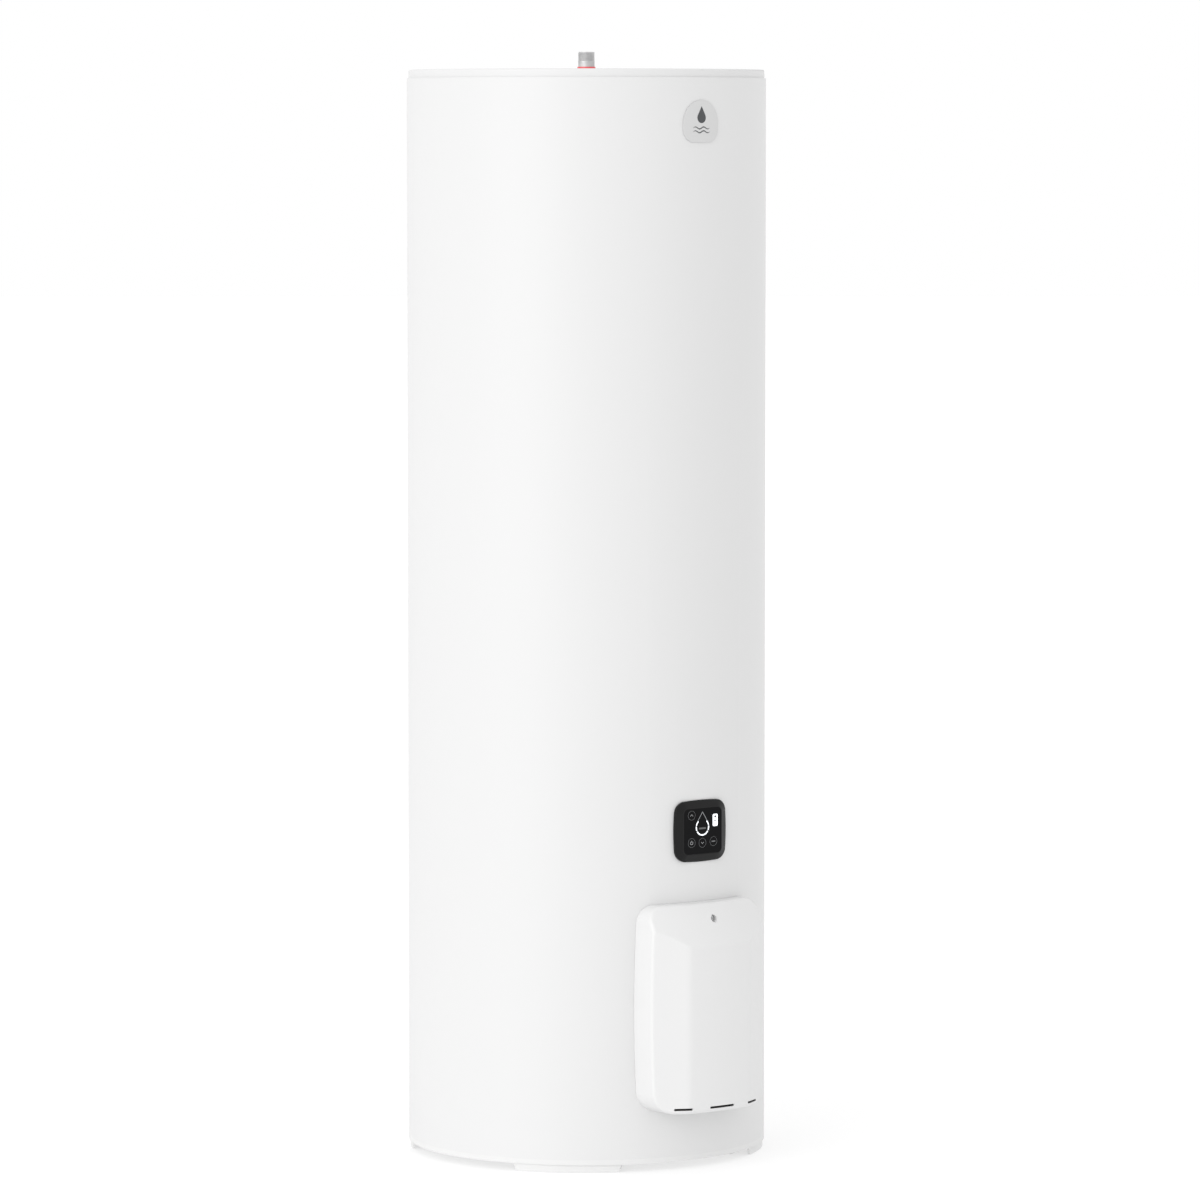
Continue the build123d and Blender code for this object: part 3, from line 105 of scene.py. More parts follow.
def make_grain_group():
    """Fine relief of a moulded or sprayed skin, with soft patches in its shade and gloss."""
    group, source, sink = surface_group(
        "skin_grain",
        [("Colour", "NodeSocketColor", (0.8, 0.8, 0.8, 1)), ("Grain Scale", "NodeSocketFloat", 900),
         ("Patch Scale", "NodeSocketFloat", 6), ("Patch Depth", "NodeSocketFloat", 0.02),
         ("Gloss Low", "NodeSocketFloat", 0.3), ("Gloss High", "NodeSocketFloat", 0.4)],
        [("Colour", "NodeSocketColor"), ("Roughness", "NodeSocketFloat"), ("Height", "NodeSocketFloat")])
    place = node_in(group, "ShaderNodeTexCoord")
    grain = node_in(group, "ShaderNodeTexNoise")
    grain.inputs["Detail"].default_value = GRAIN_DETAIL
    patch = node_in(group, "ShaderNodeTexNoise")
    patch.inputs["Detail"].default_value = PATCH_DETAIL
    for texture, scale in ((grain, "Grain Scale"), (patch, "Patch Scale")):
        group.links.new(place.outputs["Object"], texture.inputs["Vector"])
        group.links.new(source.outputs[scale], texture.inputs["Scale"])
    gloss = node_in(group, "ShaderNodeMapRange", interpolation_type="SMOOTHSTEP")
    group.links.new(patch.outputs["Fac"], gloss.inputs["Value"])
    gloss.inputs["From Min"].default_value, gloss.inputs["From Max"].default_value = PATCH_SPAN
    group.links.new(source.outputs["Gloss Low"], gloss.inputs["To Min"])
    group.links.new(source.outputs["Gloss High"], gloss.inputs["To Max"])
    shade = node_in(group, "ShaderNodeMath", operation="MULTIPLY")
    group.links.new(patch.outputs["Fac"], shade.inputs[0])
    group.links.new(source.outputs["Patch Depth"], shade.inputs[1])
    darken = node_in(group, "ShaderNodeMix", data_type="RGBA", blend_type="MULTIPLY")
    group.links.new(shade.outputs[0], darken.inputs["Factor"])
    group.links.new(source.outputs["Colour"], darken.inputs["A"])
    darken.inputs["B"].default_value = PATCH_SHADE
    group.links.new(darken.outputs["Result"], sink.inputs["Colour"])
    group.links.new(gloss.outputs["Result"], sink.inputs["Roughness"])
    group.links.new(grain.outputs["Fac"], sink.inputs["Height"])
    return group


grain_group = make_grain_group()


def new_material(name):
    """Material with an empty Principled shader, ready to be fed."""
    material = bpy.data.materials.new(name)
    material.use_nodes = True
    shader = material.node_tree.nodes["Principled BSDF"]
    return material, material.node_tree, shader


def raise_skin(tree, shader, height, strength, depth):
    """Relief on a surface, depth in metres."""
    bump = node_in(tree, "ShaderNodeBump")
    bump.inputs["Strength"].default_value = strength
    bump.inputs["Distance"].default_value = depth
    tree.links.new(height, bump.inputs["Height"])
    tree.links.new(bump.outputs["Normal"], shader.inputs["Normal"])


def grained(name, colour, gloss, grain_scale=900, relief=0.00008, patch=(6, 0.03), specular=0.5):
    """Moulded plastic, rubber or paint: its colour, its range of roughness and its fine relief."""
    material, tree, shader = new_material(name)
    skin = node_in(tree, "ShaderNodeGroup", node_tree=grain_group)
    skin.inputs["Colour"].default_value = (*colour, 1)
    skin.inputs["Grain Scale"].default_value = grain_scale
    skin.inputs["Patch Scale"].default_value, skin.inputs["Patch Depth"].default_value = patch
    skin.inputs["Gloss Low"].default_value, skin.inputs["Gloss High"].default_value = gloss
    tree.links.new(skin.outputs["Colour"], shader.inputs["Base Color"])
    tree.links.new(skin.outputs["Roughness"], shader.inputs["Roughness"])
    shader.inputs["Specular IOR Level"].default_value = specular
    raise_skin(tree, shader, skin.outputs["Height"], SKIN_STRENGTH, relief)
    return material


def finish(material, *names):
    """Gives CAD nodes their material."""
    for name in names:
        mesh = nodes[name].data
        mesh.materials.clear()
        mesh.materials.append(material)


def soften(width, *names):
    """Breaks the sharp edges of CAD nodes with a small rounded bevel."""
    for name in names:
        weld = nodes[name].modifiers.new("join_faces", "WELD")
        weld.merge_threshold = SAME_POINT
        bevel = nodes[name].modifiers.new("broken_edges", "BEVEL")
        bevel.width = width
        bevel.segments = EDGE_SEGMENTS
        bevel.limit_method = "ANGLE"
        bevel.angle_limit = math.radians(EDGE_ANGLE)
        bevel.harden_normals = True


white_moulding = grained("white_moulding", WHITE_MOULDING, (0.38, 0.50))
finish(white_moulding, "base_pan")


# ======================================================== casing and top cover
# The casing is a rolled sheet of lacquered steel, locked in a folded seam at the
# rear. The top cover is drawn from the same sheet and drops inside the casing.

LACQUER_WHITE = (0.690, 0.690, 0.690)

finish(grained("white_lacquer", LACQUER_WHITE, (0.40, 0.45), grain_scale=260, relief=0.00004,
               patch=(2.5, 0.008)), "outer_casing", "top_cover")


# ================================================================ badge plate
# A thin plate of light grey plastic, bent to the casing and stuck on near the top.
# Its mark is a plain water drop over two waves, printed in dark grey.

BADGE_GREY = (0.60, 0.60, 0.60)
BADGE_INK = (0.055, 0.058, 0.062)
BADGE_PRINT_T = 0.00015
BADGE_DROP_W = 0.0170
BADGE_DROP_FOOT = -0.003
BADGE_DROP_TIP = 0.0235
BADGE_DROP_STEPS = 14
DROP_POINT_SHARES = (0.25, 0.5, 0.75, 0.97)
WAVE_PLACES = (-0.0105, -0.0165)
WAVE_STEPS = 32
WAVE_HALF_L = 0.0165
WAVE_RISE = 0.0016
WAVE_THICK = 0.0019
WAVE_END_SHARE = 0.04
SHARP_ANGLE = 32

badge_lo, badge_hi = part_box("badge_plate")
badge_z = (badge_lo.z + badge_hi.z) / 2
badge_r = -badge_lo.y
badge_ink = grained("badge_print", BADGE_INK, (0.35, 0.45))
finish(grained("badge_grey", BADGE_GREY, (0.42, 0.52), patch=(20, 0.03)), "badge_plate")


def on_cylinder(radius):
    """Maps a width and a height to the front of an upright cylinder."""
    return lambda x, z, out: ((radius + out) * math.sin(x / radius),
                              -(radius + out) * math.cos(x / radius), z)


def piece(name, verts, faces, material, smooth=True):
    """Mesh object fixed to the body of the heater."""
    mesh = bpy.data.meshes.new(name)
    mesh.from_pydata([tuple(v) for v in verts], [], faces)
    tidy = bmesh.new()
    tidy.from_mesh(mesh)
    bmesh.ops.recalc_face_normals(tidy, faces=tidy.faces[:])
    tidy.to_mesh(mesh)
    tidy.free()
    mesh.materials.append(material)
    if smooth:
        mesh.shade_smooth()
        mesh.set_sharp_from_angle(angle=math.radians(SHARP_ANGLE))
    obj = bpy.data.objects.new(name, mesh)
    bpy.context.scene.collection.objects.link(obj)
    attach(obj, "heater")
    return obj


def ribbon(left, right, place, base, thick, closed=False):
    """Raised strip between two lines of points, as vertices and faces."""
    verts, faces = [], []
    for (lx, lz), (rx, rz) in zip(left, right):
        verts += [place(lx, lz, base), place(rx, rz, base), place(rx, rz, base + thick),
                  place(lx, lz, base + thick)]
    count = len(left)
    for i in range(count if closed else count - 1):
        a, b = 4 * i, 4 * ((i + 1) % count)
        faces += [(a + k, a + (k + 1) % 4, b + (k + 1) % 4, b + k) for k in range(4)]
    if not closed:
        faces += [(3, 2, 1, 0), tuple(4 * count - 4 + k for k in range(4))]
    return verts, faces


def joined(parts):
    """Several vertex and face lists as one."""
    verts, faces = [], []
    for v, f in parts:
        faces += [tuple(i + len(verts) for i in face) for face in f]
        verts += v
    return verts, faces


def wave(z0):
    """One printed wave, thinner at its ends."""
    left, right = [], []
    for i in range(WAVE_STEPS + 1):
        t = 2 * i / WAVE_STEPS - 1
        half = WAVE_THICK / 2 * math.sqrt(max(WAVE_END_SHARE, 1 - t * t))
        z = z0 + WAVE_RISE * math.sin(2 * math.pi * t)
        left.append((t * WAVE_HALF_L, z + half))
        right.append((t * WAVE_HALF_L, z - half))
    return left, right


def drop_outline(width, foot, tip, steps):
    """Right half of a water drop from its foot to its tip: a round belly drawn out to a point."""
    r = width / 2
    centre = foot + r
    reach = tip - centre
    tangent = math.acos(r / reach)
    arc = [(r * math.sin(a), centre - r * math.cos(a))
           for a in (i / steps * (math.pi - tangent) for i in range(steps + 1))]
    x, z = arc[-1]
    return arc + [(x * (1 - t), z + (tip - z) * t) for t in DROP_POINT_SHARES]


half_drop = drop_outline(BADGE_DROP_W, badge_z + BADGE_DROP_FOOT, badge_z + BADGE_DROP_TIP,
                         BADGE_DROP_STEPS)
drop_left = [(-x, z) for x, z in half_drop]
badge_place = on_cylinder(badge_r)
marks = [ribbon(drop_left, half_drop, badge_place, 0, BADGE_PRINT_T)]
marks += [ribbon(*wave(badge_z + z), badge_place, 0, BADGE_PRINT_T) for z in WAVE_PLACES]
piece("badge_mark", *joined(marks), badge_ink, smooth=False)


# ============================================== water pipes, rings and grommets
# Zinc-plated steel stubs with a G3/4 male thread, welded into the tank. A red ring marks
# the hot one and a blue ring the cold one, which feeds a moulded diffuser inside the tank.
# Rubber grommets seal the foam round them.

THREAD_PITCH = 0.001814
THREAD_DEPTH = 0.00070
THREAD_SIDES = 56
THREAD_ROWS_PER_PITCH = 8
THREAD_SPAN = 0.0155
THREADED_END = 0.0165
END_CHAMFER = 0.0011
PIPE_OUTER = 0.0130
THREAD_OUTER = 0.01322
PIPE_BORE = 0.0102
BORE_CHAMFER = 0.0006
GROOVE_SLOPE = 1.25
GROOVE_CREST = 0.12
CLOUD_DETAIL = 6
CLOUD_SPAN = (0.35, 0.65)
STREAK_SQUEEZE = (0.06, 0.06, 1)
METAL_STRENGTH = 0.5
INLET_ANGLE = math.radians(75)
INLET_REACH = 0.3100
INLET_LENGTH = 0.0950


def make_metal_group():
    """Plated or drawn metal: cloudy colour and gloss, and faint streaks round an upright axis."""
    group, source, sink = surface_group(
        "metal_skin",
        [("Colour", "NodeSocketColor", (0.6, 0.6, 0.6, 1)),
         ("Dull Colour", "NodeSocketColor", (0.4, 0.4, 0.4, 1)),
         ("Cloud Scale", "NodeSocketFloat", 60), ("Streak Scale", "NodeSocketFloat", 900),
         ("Gloss Low", "NodeSocketFloat", 0.25), ("Gloss High", "NodeSocketFloat", 0.45)],
        [("Colour", "NodeSocketColor"), ("Roughness", "NodeSocketFloat"), ("Height", "NodeSocketFloat")])
    place = node_in(group, "ShaderNodeTexCoord")
    cloud = node_in(group, "ShaderNodeTexNoise")
    cloud.inputs["Detail"].default_value = CLOUD_DETAIL
    group.links.new(place.outputs["Object"], cloud.inputs["Vector"])
    group.links.new(source.outputs["Cloud Scale"], cloud.inputs["Scale"])
    squeeze = node_in(group, "ShaderNodeMapping")
    squeeze.inputs["Scale"].default_value = STREAK_SQUEEZE
    group.links.new(place.outputs["Object"], squeeze.inputs["Vector"])
    streak = node_in(group, "ShaderNodeTexNoise")
    group.links.new(squeeze.outputs["Vector"], streak.inputs["Vector"])
    group.links.new(source.outputs["Streak Scale"], streak.inputs["Scale"])
    spread = node_in(group, "ShaderNodeMapRange")
    spread.inputs["From Min"].default_value, spread.inputs["From Max"].default_value = CLOUD_SPAN
    group.links.new(cloud.outputs["Fac"], spread.inputs["Value"])
    mix = node_in(group, "ShaderNodeMix", data_type="RGBA")
    group.links.new(spread.outputs["Result"], mix.inputs["Factor"])
    group.links.new(source.outputs["Colour"], mix.inputs["A"])
    group.links.new(source.outputs["Dull Colour"], mix.inputs["B"])
    gloss = node_in(group, "ShaderNodeMapRange")
    group.links.new(spread.outputs["Result"], gloss.inputs["Value"])
    group.links.new(source.outputs["Gloss Low"], gloss.inputs["To Min"])
    group.links.new(source.outputs["Gloss High"], gloss.inputs["To Max"])
    group.links.new(mix.outputs["Result"], sink.inputs["Colour"])
    group.links.new(gloss.outputs["Result"], sink.inputs["Roughness"])
    group.links.new(streak.outputs["Fac"], sink.inputs["Height"])
    return group


metal_group = make_metal_group()


def plated(name, colour, dull, gloss=(0.25, 0.45), cloud=60, relief=0.00003):
    """Metal with its bright and its dull colour."""
    material, tree, shader = new_material(name)
    skin = node_in(tree, "ShaderNodeGroup", node_tree=metal_group)
    skin.inputs["Colour"].default_value = (*colour, 1)
    skin.inputs["Dull Colour"].default_value = (*dull, 1)
    skin.inputs["Cloud Scale"].default_value = cloud
    skin.inputs["Gloss Low"].default_value, skin.inputs["Gloss High"].default_value = gloss
    tree.links.new(skin.outputs["Colour"], shader.inputs["Base Color"])
    tree.links.new(skin.outputs["Roughness"], shader.inputs["Roughness"])
    shader.inputs["Metallic"].default_value = 1
    raise_skin(tree, shader, skin.outputs["Height"], METAL_STRENGTH, relief)
    return material


def turned(profile, sides, matrix, thread=None):
    """Closed ring swept round local Z from (radius, height) pairs, with a groove cut by thread."""
    verts, faces = [], []
    for row, (radius, height) in enumerate(profile):
        for k in range(sides):
            angle = 2 * math.pi * k / sides
            left = radius - (thread(row, height, angle) if thread else 0)
            verts.append(matrix @ Vector((left * math.cos(angle), left * math.sin(angle), height)))
    count = len(profile)
    for row in range(count):
        after = (row + 1) % count
        faces += [(row * sides + k, row * sides + (k + 1) % sides, after * sides + (k + 1) % sides,
                   after * sides + k) for k in range(sides)]
    return verts, faces


def threaded_stub(name, length, matrix, material, node):
    """Bored pipe with a cut thread and chamfers at its far end."""
    start, stop = length - THREAD_SPAN, length - END_CHAMFER
    rows = int(round((stop - start) / THREAD_PITCH * THREAD_ROWS_PER_PITCH))
    heights = [start + (stop - start) * i / rows for i in range(rows + 1)]
    profile = [(PIPE_BORE, 0), (PIPE_OUTER, 0), (PIPE_OUTER, length - THREADED_END),
               (THREAD_OUTER, length - THREADED_END)]
    first = len(profile)
    profile += [(THREAD_OUTER, z) for z in heights]
    last = len(profile)
    profile += [(THREAD_OUTER - END_CHAMFER, length), (PIPE_BORE + BORE_CHAMFER, length),
                (PIPE_BORE, length - BORE_CHAMFER)]

    def groove(row, height, angle):
        if not first <= row < last:
            return 0
        phase = ((height - start) / THREAD_PITCH - angle / (2 * math.pi)) % 1
        run = min(1, (height - start) / THREAD_PITCH)
        return THREAD_DEPTH * run * min(1, max(0, GROOVE_SLOPE * (1 - abs(2 * phase - 1)) - GROOVE_CREST))

    obj = piece(name, *turned(profile, THREAD_SIDES, matrix, groove), material)
    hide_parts(node)
    return obj


zinc = plated("zinc_plate", (0.64, 0.64, 0.64), (0.56, 0.56, 0.565), gloss=(0.50, 0.64))
dark_zinc = plated("passivated_zinc", (0.24, 0.245, 0.25), (0.15, 0.153, 0.158), gloss=(0.35, 0.5))

outlet_lo, outlet_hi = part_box("hot_outlet_nipple")
threaded_stub("hot_outlet_pipe", outlet_hi.z - outlet_lo.z, Matrix.Translation((0, 0, outlet_lo.z)), zinc,
              "hot_outlet_nipple")

inlet_lo, inlet_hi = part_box("cold_inlet_nipple")
inlet_z = (inlet_lo.z + inlet_hi.z) / 2
inlet_out = Vector((math.sin(INLET_ANGLE), -math.cos(INLET_ANGLE), 0))
inlet_start = inlet_out * (INLET_REACH - INLET_LENGTH) + Vector((0, 0, inlet_z))
threaded_stub("cold_inlet_pipe", INLET_LENGTH,
              Matrix.Translation(inlet_start) @ inlet_out.to_track_quat("Z", "Y").to_matrix().to_4x4(),
              dark_zinc, "cold_inlet_nipple")

finish(grained("red_ring_plastic", (0.76, 0.10, 0.11), (0.30, 0.42)), "outlet_colour_ring")
finish(grained("blue_ring_plastic", (0.02, 0.10, 0.55), (0.30, 0.42)), "inlet_colour_ring")
black_rubber = grained("black_rubber", (0.022, 0.022, 0.023), (0.6, 0.8), grain_scale=700, relief=0.0001,
                       patch=(40, 0.3))
finish(black_rubber, "outlet_grommet", "inlet_grommet")
finish(white_moulding, "inlet_diffuser")


# ============================================================ tank and its foam
# The tank is welded from sheet steel and fired with deep blue glass enamel. Foam is
# poured between tank and casing, where it sets yellow and full of small closed cells.

ENAMEL_BLUE = (0.012, 0.028, 0.075)
ENAMEL_ROUGHNESS = 0.22
ENAMEL_COAT = 0.8
ENAMEL_COAT_ROUGHNESS = 0.05
SPECKLE_SCALE = 420
SPECKLE_LIFT = 0.45
SPECKLE_TINT = 0.5
SPECKLE_SPAN = (0.04, 0.16)
SAG_SCALE = 90
SAG_STRENGTH = 0.5
SAG_DEPTH = 0.0004
FOAM_YELLOW = (0.78, 0.62, 0.30)
FOAM_ROUGHNESS = 0.9
# Share of the foam's yellow left in the painted shade of the cell hollows.
FOAM_HOLLOW_SHADE = 0.55
CELL_SCALE = 260
LUMP_SCALE = 24
CELL_STRENGTH = 0.9
CELL_DEPTH = 0.0012


def enamel(name, colour):
    """Glass enamel: dark speckled ground under a clear coat, with the slight sag of a fired glaze."""
    material, tree, shader = new_material(name)
    place = node_in(tree, "ShaderNodeTexCoord")
    speckle = node_in(tree, "ShaderNodeTexVoronoi")
    speckle.inputs["Scale"].default_value = SPECKLE_SCALE
    tree.links.new(place.outputs["Object"], speckle.inputs["Vector"])
    ramp = node_in(tree, "ShaderNodeValToRGB")
    speck, ground = ramp.color_ramp.elements
    speck.color = (*[SPECKLE_LIFT + SPECKLE_TINT * c for c in colour], 1)
    ground.color = (*colour, 1)
    speck.position, ground.position = SPECKLE_SPAN
    tree.links.new(speckle.outputs["Distance"], ramp.inputs["Fac"])
    tree.links.new(ramp.outputs["Color"], shader.inputs["Base Color"])
    shader.inputs["Roughness"].default_value = ENAMEL_ROUGHNESS
    shader.inputs["Coat Weight"].default_value = ENAMEL_COAT
    shader.inputs["Coat Roughness"].default_value = ENAMEL_COAT_ROUGHNESS
    sag = node_in(tree, "ShaderNodeTexNoise")
    sag.inputs["Scale"].default_value = SAG_SCALE
    tree.links.new(place.outputs["Object"], sag.inputs["Vector"])
    raise_skin(tree, shader, sag.outputs["Fac"], SAG_STRENGTH, SAG_DEPTH)
    return material


def foam_material():
    """Poured foam: closed cells of two sizes, with painted shade darkening their hollows."""
    material, tree, shader = new_material("poured_foam")
    place = node_in(tree, "ShaderNodeTexCoord")
    cells = node_in(tree, "ShaderNodeTexVoronoi", feature="SMOOTH_F1")
    cells.inputs["Scale"].default_value = CELL_SCALE
    lumps = node_in(tree, "ShaderNodeTexNoise")
    lumps.inputs["Scale"].default_value = LUMP_SCALE
    for texture in (cells, lumps):
        tree.links.new(place.outputs["Object"], texture.inputs["Vector"])
    mix = node_in(tree, "ShaderNodeMix", data_type="RGBA")
    # Painted shade: the low hollows of the cells get a darker copy of the foam's yellow.
    mix.inputs["A"].default_value = (*[FOAM_HOLLOW_SHADE * c for c in FOAM_YELLOW], 1)
    mix.inputs["B"].default_value = (*FOAM_YELLOW, 1)
    shade = node_in(tree, "ShaderNodeMath", operation="ADD")
    tree.links.new(cells.outputs["Distance"], shade.inputs[0])
    tree.links.new(lumps.outputs["Fac"], shade.inputs[1])
    tree.links.new(shade.outputs[0], mix.inputs["Factor"])
    tree.links.new(mix.outputs["Result"], shader.inputs["Base Color"])
    shader.inputs["Roughness"].default_value = FOAM_ROUGHNESS
    raise_skin(tree, shader, shade.outputs[0], CELL_STRENGTH, CELL_DEPTH)
    return material


blue_enamel = enamel("blue_enamel", ENAMEL_BLUE)
finish(blue_enamel, "tank_shell", "tank_top_dome", "tank_bottom_dome", "tank_support_ring", "flange_collar")
finish(foam_material(), "insulation_foam")


# ================================================================ heater flange
# An enamelled steel plate on a rubber gasket, drawn down by six zinc-plated nuts. It
# carries the sheath with its ceramic element, the magnesium anode and the probe pocket.

NUT_EDGE = 0.0005
PLATE_EDGE = 0.0006
STUD_PITCH = 0.00125
STUD_CUT = 0.00066
STUD_SIDES = 28
STUD_ROWS = 7
STUD_CORE = 0.0001
STUD_CHAMFER = 0.0005


def islands(node):
    """Boxes of a CAD node's separate solids, as (lowest, highest) corners."""
    mesh = bmesh.new()
    mesh.from_mesh(nodes[node].data)
    bmesh.ops.remove_doubles(mesh, verts=mesh.verts[:], dist=SAME_POINT)
    left, found = set(mesh.verts), []
    while left:
        stack, island = [left.pop()], []
        while stack:
            vert = stack.pop()
            island.append(vert.co.copy())
            for edge in vert.link_edges:
                other = edge.other_vert(vert)
                if other in left:
                    left.remove(other)
                    stack.append(other)
        found.append((Vector(min(c[i] for c in island) for i in range(3)),
                      Vector(max(c[i] for c in island) for i in range(3))))
    mesh.free()
    return sorted(found, key=lambda pair: (round(pair[0].z, 5), round(pair[0].x, 5)))


bright_zinc = plated("bright_zinc", (0.66, 0.665, 0.67), (0.52, 0.525, 0.53), gloss=(0.18, 0.34),
                     cloud=180)
to_front = Matrix.Rotation(math.radians(90), 4, "X")


def threaded_studs():
    """Studs with a cut thread, which replace the plain ones."""
    parts = []
    for lo, hi in islands("flange_studs"):
        radius, length = (hi.x - lo.x) / 2, hi.y - lo.y
        rows = int(length / STUD_PITCH * STUD_ROWS)
        profile = [(STUD_CORE, 0), (radius - STUD_CHAMFER, 0)]
        first = len(profile)
        profile += [(radius, STUD_CHAMFER + (length - 2 * STUD_CHAMFER) * i / rows) for i in range(rows + 1)]
        last = len(profile)
        profile += [(radius - STUD_CHAMFER, length), (STUD_CORE, length)]

        def groove(row, height, angle):
            if not first <= row < last:
                return 0
            phase = (height / STUD_PITCH - angle / (2 * math.pi)) % 1
            return STUD_CUT * (1 - abs(2 * phase - 1))

        place = Matrix.Translation(((lo.x + hi.x) / 2, hi.y, (lo.z + hi.z) / 2)) @ to_front
        parts.append(turned(profile, STUD_SIDES, place, groove))
    obj = piece("threaded_flange_studs", *joined(parts), bright_zinc)
    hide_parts("flange_studs")


threaded_studs()
finish(bright_zinc, "flange_nuts", "heating_coils", "anode_nut")
soften(NUT_EDGE, "flange_nuts", "anode_nut")
finish(blue_enamel, "flange_plate", "heater_sheath")
soften(PLATE_EDGE, "flange_plate")
finish(black_rubber, "flange_gasket")
finish(grained("steatite", (0.76, 0.70, 0.58), (0.55, 0.7), grain_scale=500, relief=0.0002,
               patch=(50, 0.2)), "ceramic_element")
finish(plated("brass", (0.70, 0.52, 0.24), (0.52, 0.36, 0.15), cloud=120),
       "element_terminals", "probe_pocket", "earth_screw")
finish(plated("cast_magnesium", (0.52, 0.52, 0.53), (0.40, 0.40, 0.42), gloss=(0.5, 0.7), relief=0.0001),
       "anode_rod")


# =============================================== service bay and the power box
# A moulded frame lines the opening in the casing. The power box on it holds the board,
# the terminal block and the safety thermostat, whose red button resets it.

BOARD_GREEN = (0.012, 0.13, 0.055)
BOARD_TRACK = (0.03, 0.22, 0.09)
BOARD_ROUGHNESS = 0.28
BOARD_COAT = 0.4
TRACK_SCALE = 230
TRACK_EDGE = 0.42
TRACK_STRENGTH = 0.4
TRACK_RISE = 0.0001


def board_material():
    """Printed board: green lacquer with paler tracks in straight runs under it."""
    material, tree, shader = new_material("printed_board")
    place = node_in(tree, "ShaderNodeTexCoord")
    tracks = node_in(tree, "ShaderNodeTexVoronoi", distance="CHEBYCHEV", feature="F1")
    tracks.inputs["Scale"].default_value = TRACK_SCALE
    tree.links.new(place.outputs["Object"], tracks.inputs["Vector"])
    ramp = node_in(tree, "ShaderNodeValToRGB")
    ramp.color_ramp.interpolation = "CONSTANT"
    ground, track = ramp.color_ramp.elements
    ground.color = (*BOARD_GREEN, 1)
    track.color = (*BOARD_TRACK, 1)
    track.position = TRACK_EDGE
    tree.links.new(tracks.outputs["Distance"], ramp.inputs["Fac"])
    tree.links.new(ramp.outputs["Color"], shader.inputs["Base Color"])
    shader.inputs["Roughness"].default_value = BOARD_ROUGHNESS
    shader.inputs["Coat Weight"].default_value = BOARD_COAT
    raise_skin(tree, shader, ramp.outputs["Color"], TRACK_STRENGTH, TRACK_RISE)
    return material


grey_moulding = grained("grey_moulding", (0.30, 0.31, 0.32), (0.42, 0.55), relief=0.00012)
black_moulding = grained("black_moulding", (0.018, 0.018, 0.019), (0.38, 0.5), relief=0.0001)
green_board = board_material()
finish(grey_moulding, "bay_frame", "power_box", "power_box_lid")
finish(bright_zinc, "bay_frame_screws", "terminal_screws", "cable_clamp_screws")
finish(green_board, "power_board")
finish(black_moulding, "power_board_parts", "safety_thermostat", "cable_clamp_base", "cable_clamp_bar")
finish(white_moulding, "terminal_block")
finish(grained("reset_red", (0.72, 0.02, 0.02), (0.28, 0.4)), "reset_button")


def wire_jacket(wire, colour):
    """Drawn plastic sleeve of one wire or cable."""
    finish(grained(wire + "_jacket", colour, (0.35, 0.5), grain_scale=1500), wire)


wire_jacket("live_lead", (0.13, 0.045, 0.018))
wire_jacket("neutral_lead", (0.02, 0.08, 0.42))
wire_jacket("earth_lead", (0.22, 0.45, 0.03))
finish(plated("copper_tube", (0.72, 0.36, 0.22), (0.50, 0.22, 0.12), cloud=150), "safety_probe")


# ================================================ service cover and its screw
# A domed hood moulded in white plastic. It hooks into the casing at its foot, and one
# captive screw in a round pocket near its top holds it shut.

COVER_WHITE = (0.715, 0.715, 0.715)

finish(grained("cover_moulding", COVER_WHITE, (0.36, 0.46), relief=0.00006, patch=(8, 0.015)),
       "service_cover")
finish(bright_zinc, "cover_screw")


# ========================================================== the control panel
# A gloss black bezel frames a dark glass touch screen. Lit symbols show through it: a
# water drop with a gauge ring, an upright level tube and four touch keys. A tray behind
# it holds the board, and a conduit brings the cable up from the service bay.

BEZEL_EDGE = 0.0026
LIT_WHITE = (0.93, 0.96, 1.0)
LIT_GREY = (0.30, 0.31, 0.32)
BAR_GREY = (0.10, 0.102, 0.105)
KEY_GREY = (0.16, 0.165, 0.17)
ICON_GREY = (0.34, 0.345, 0.35)
WHITE_GLOW = 0.9
LINE_GLOW = 0.25
BAR_GLOW = 0.10
KEY_GLOW = 0.10
ICON_GLOW = 0.30
LIT_SCALE = 220
LIT_ROUGHNESS = 0.4
LIT_DIM_SHARE = 0.82
SYMBOL_T = 0.00012
RING_R = 0.01260
RING_W = 0.0020
RING_CENTRE_Z = 0.0060
RING_ARCS = ((-138, -103), (-97, -66), (-58, 58), (66, 97), (103, 138))
ARC_STEPS = 14
DROP_W = 0.028
DROP_FOOT = -0.009
DROP_TIP = 0.030
DROP_STEPS = 24
DROP_LINE = 0.0008
DROP_LINE_FROM = 0.012
BAR_Z = 0.004
BAR_HALF = (0.007, 0.00135)
KEY_R = 0.0072
KEY_LINE = 0.00035
KEY_STEPS = 40
KEY_PLACES = ((-0.022, 0.0256), (-0.022, -0.018), (0.0, -0.019), (0.0225, -0.018))
ICON_LINE = 0.0007
ICON_HALF = 0.0025
ICON_ENDS = 0.0012
ICON_TIP = 0.0016
POWER_R = 0.0026
POWER_ARC = 145
POWER_STEPS = 20
POWER_BAR_Z = 0.0022
POWER_BAR_HALF = 0.0016
DOT_STEP = 0.0026
DOT_HALF = 0.0007
LEVEL_PLACE = (0.026, 0.0155)
LEVEL_HALF = (0.0050, 0.0097)
LEVEL_MARKS = ((0.0055, 0.0018, 0.0018), (-0.0008, 0.0029, 0.0006), (-0.0050, 0.0029, 0.0006))
CORNER_SHARE = 0.45
CORNER_STEPS = 6

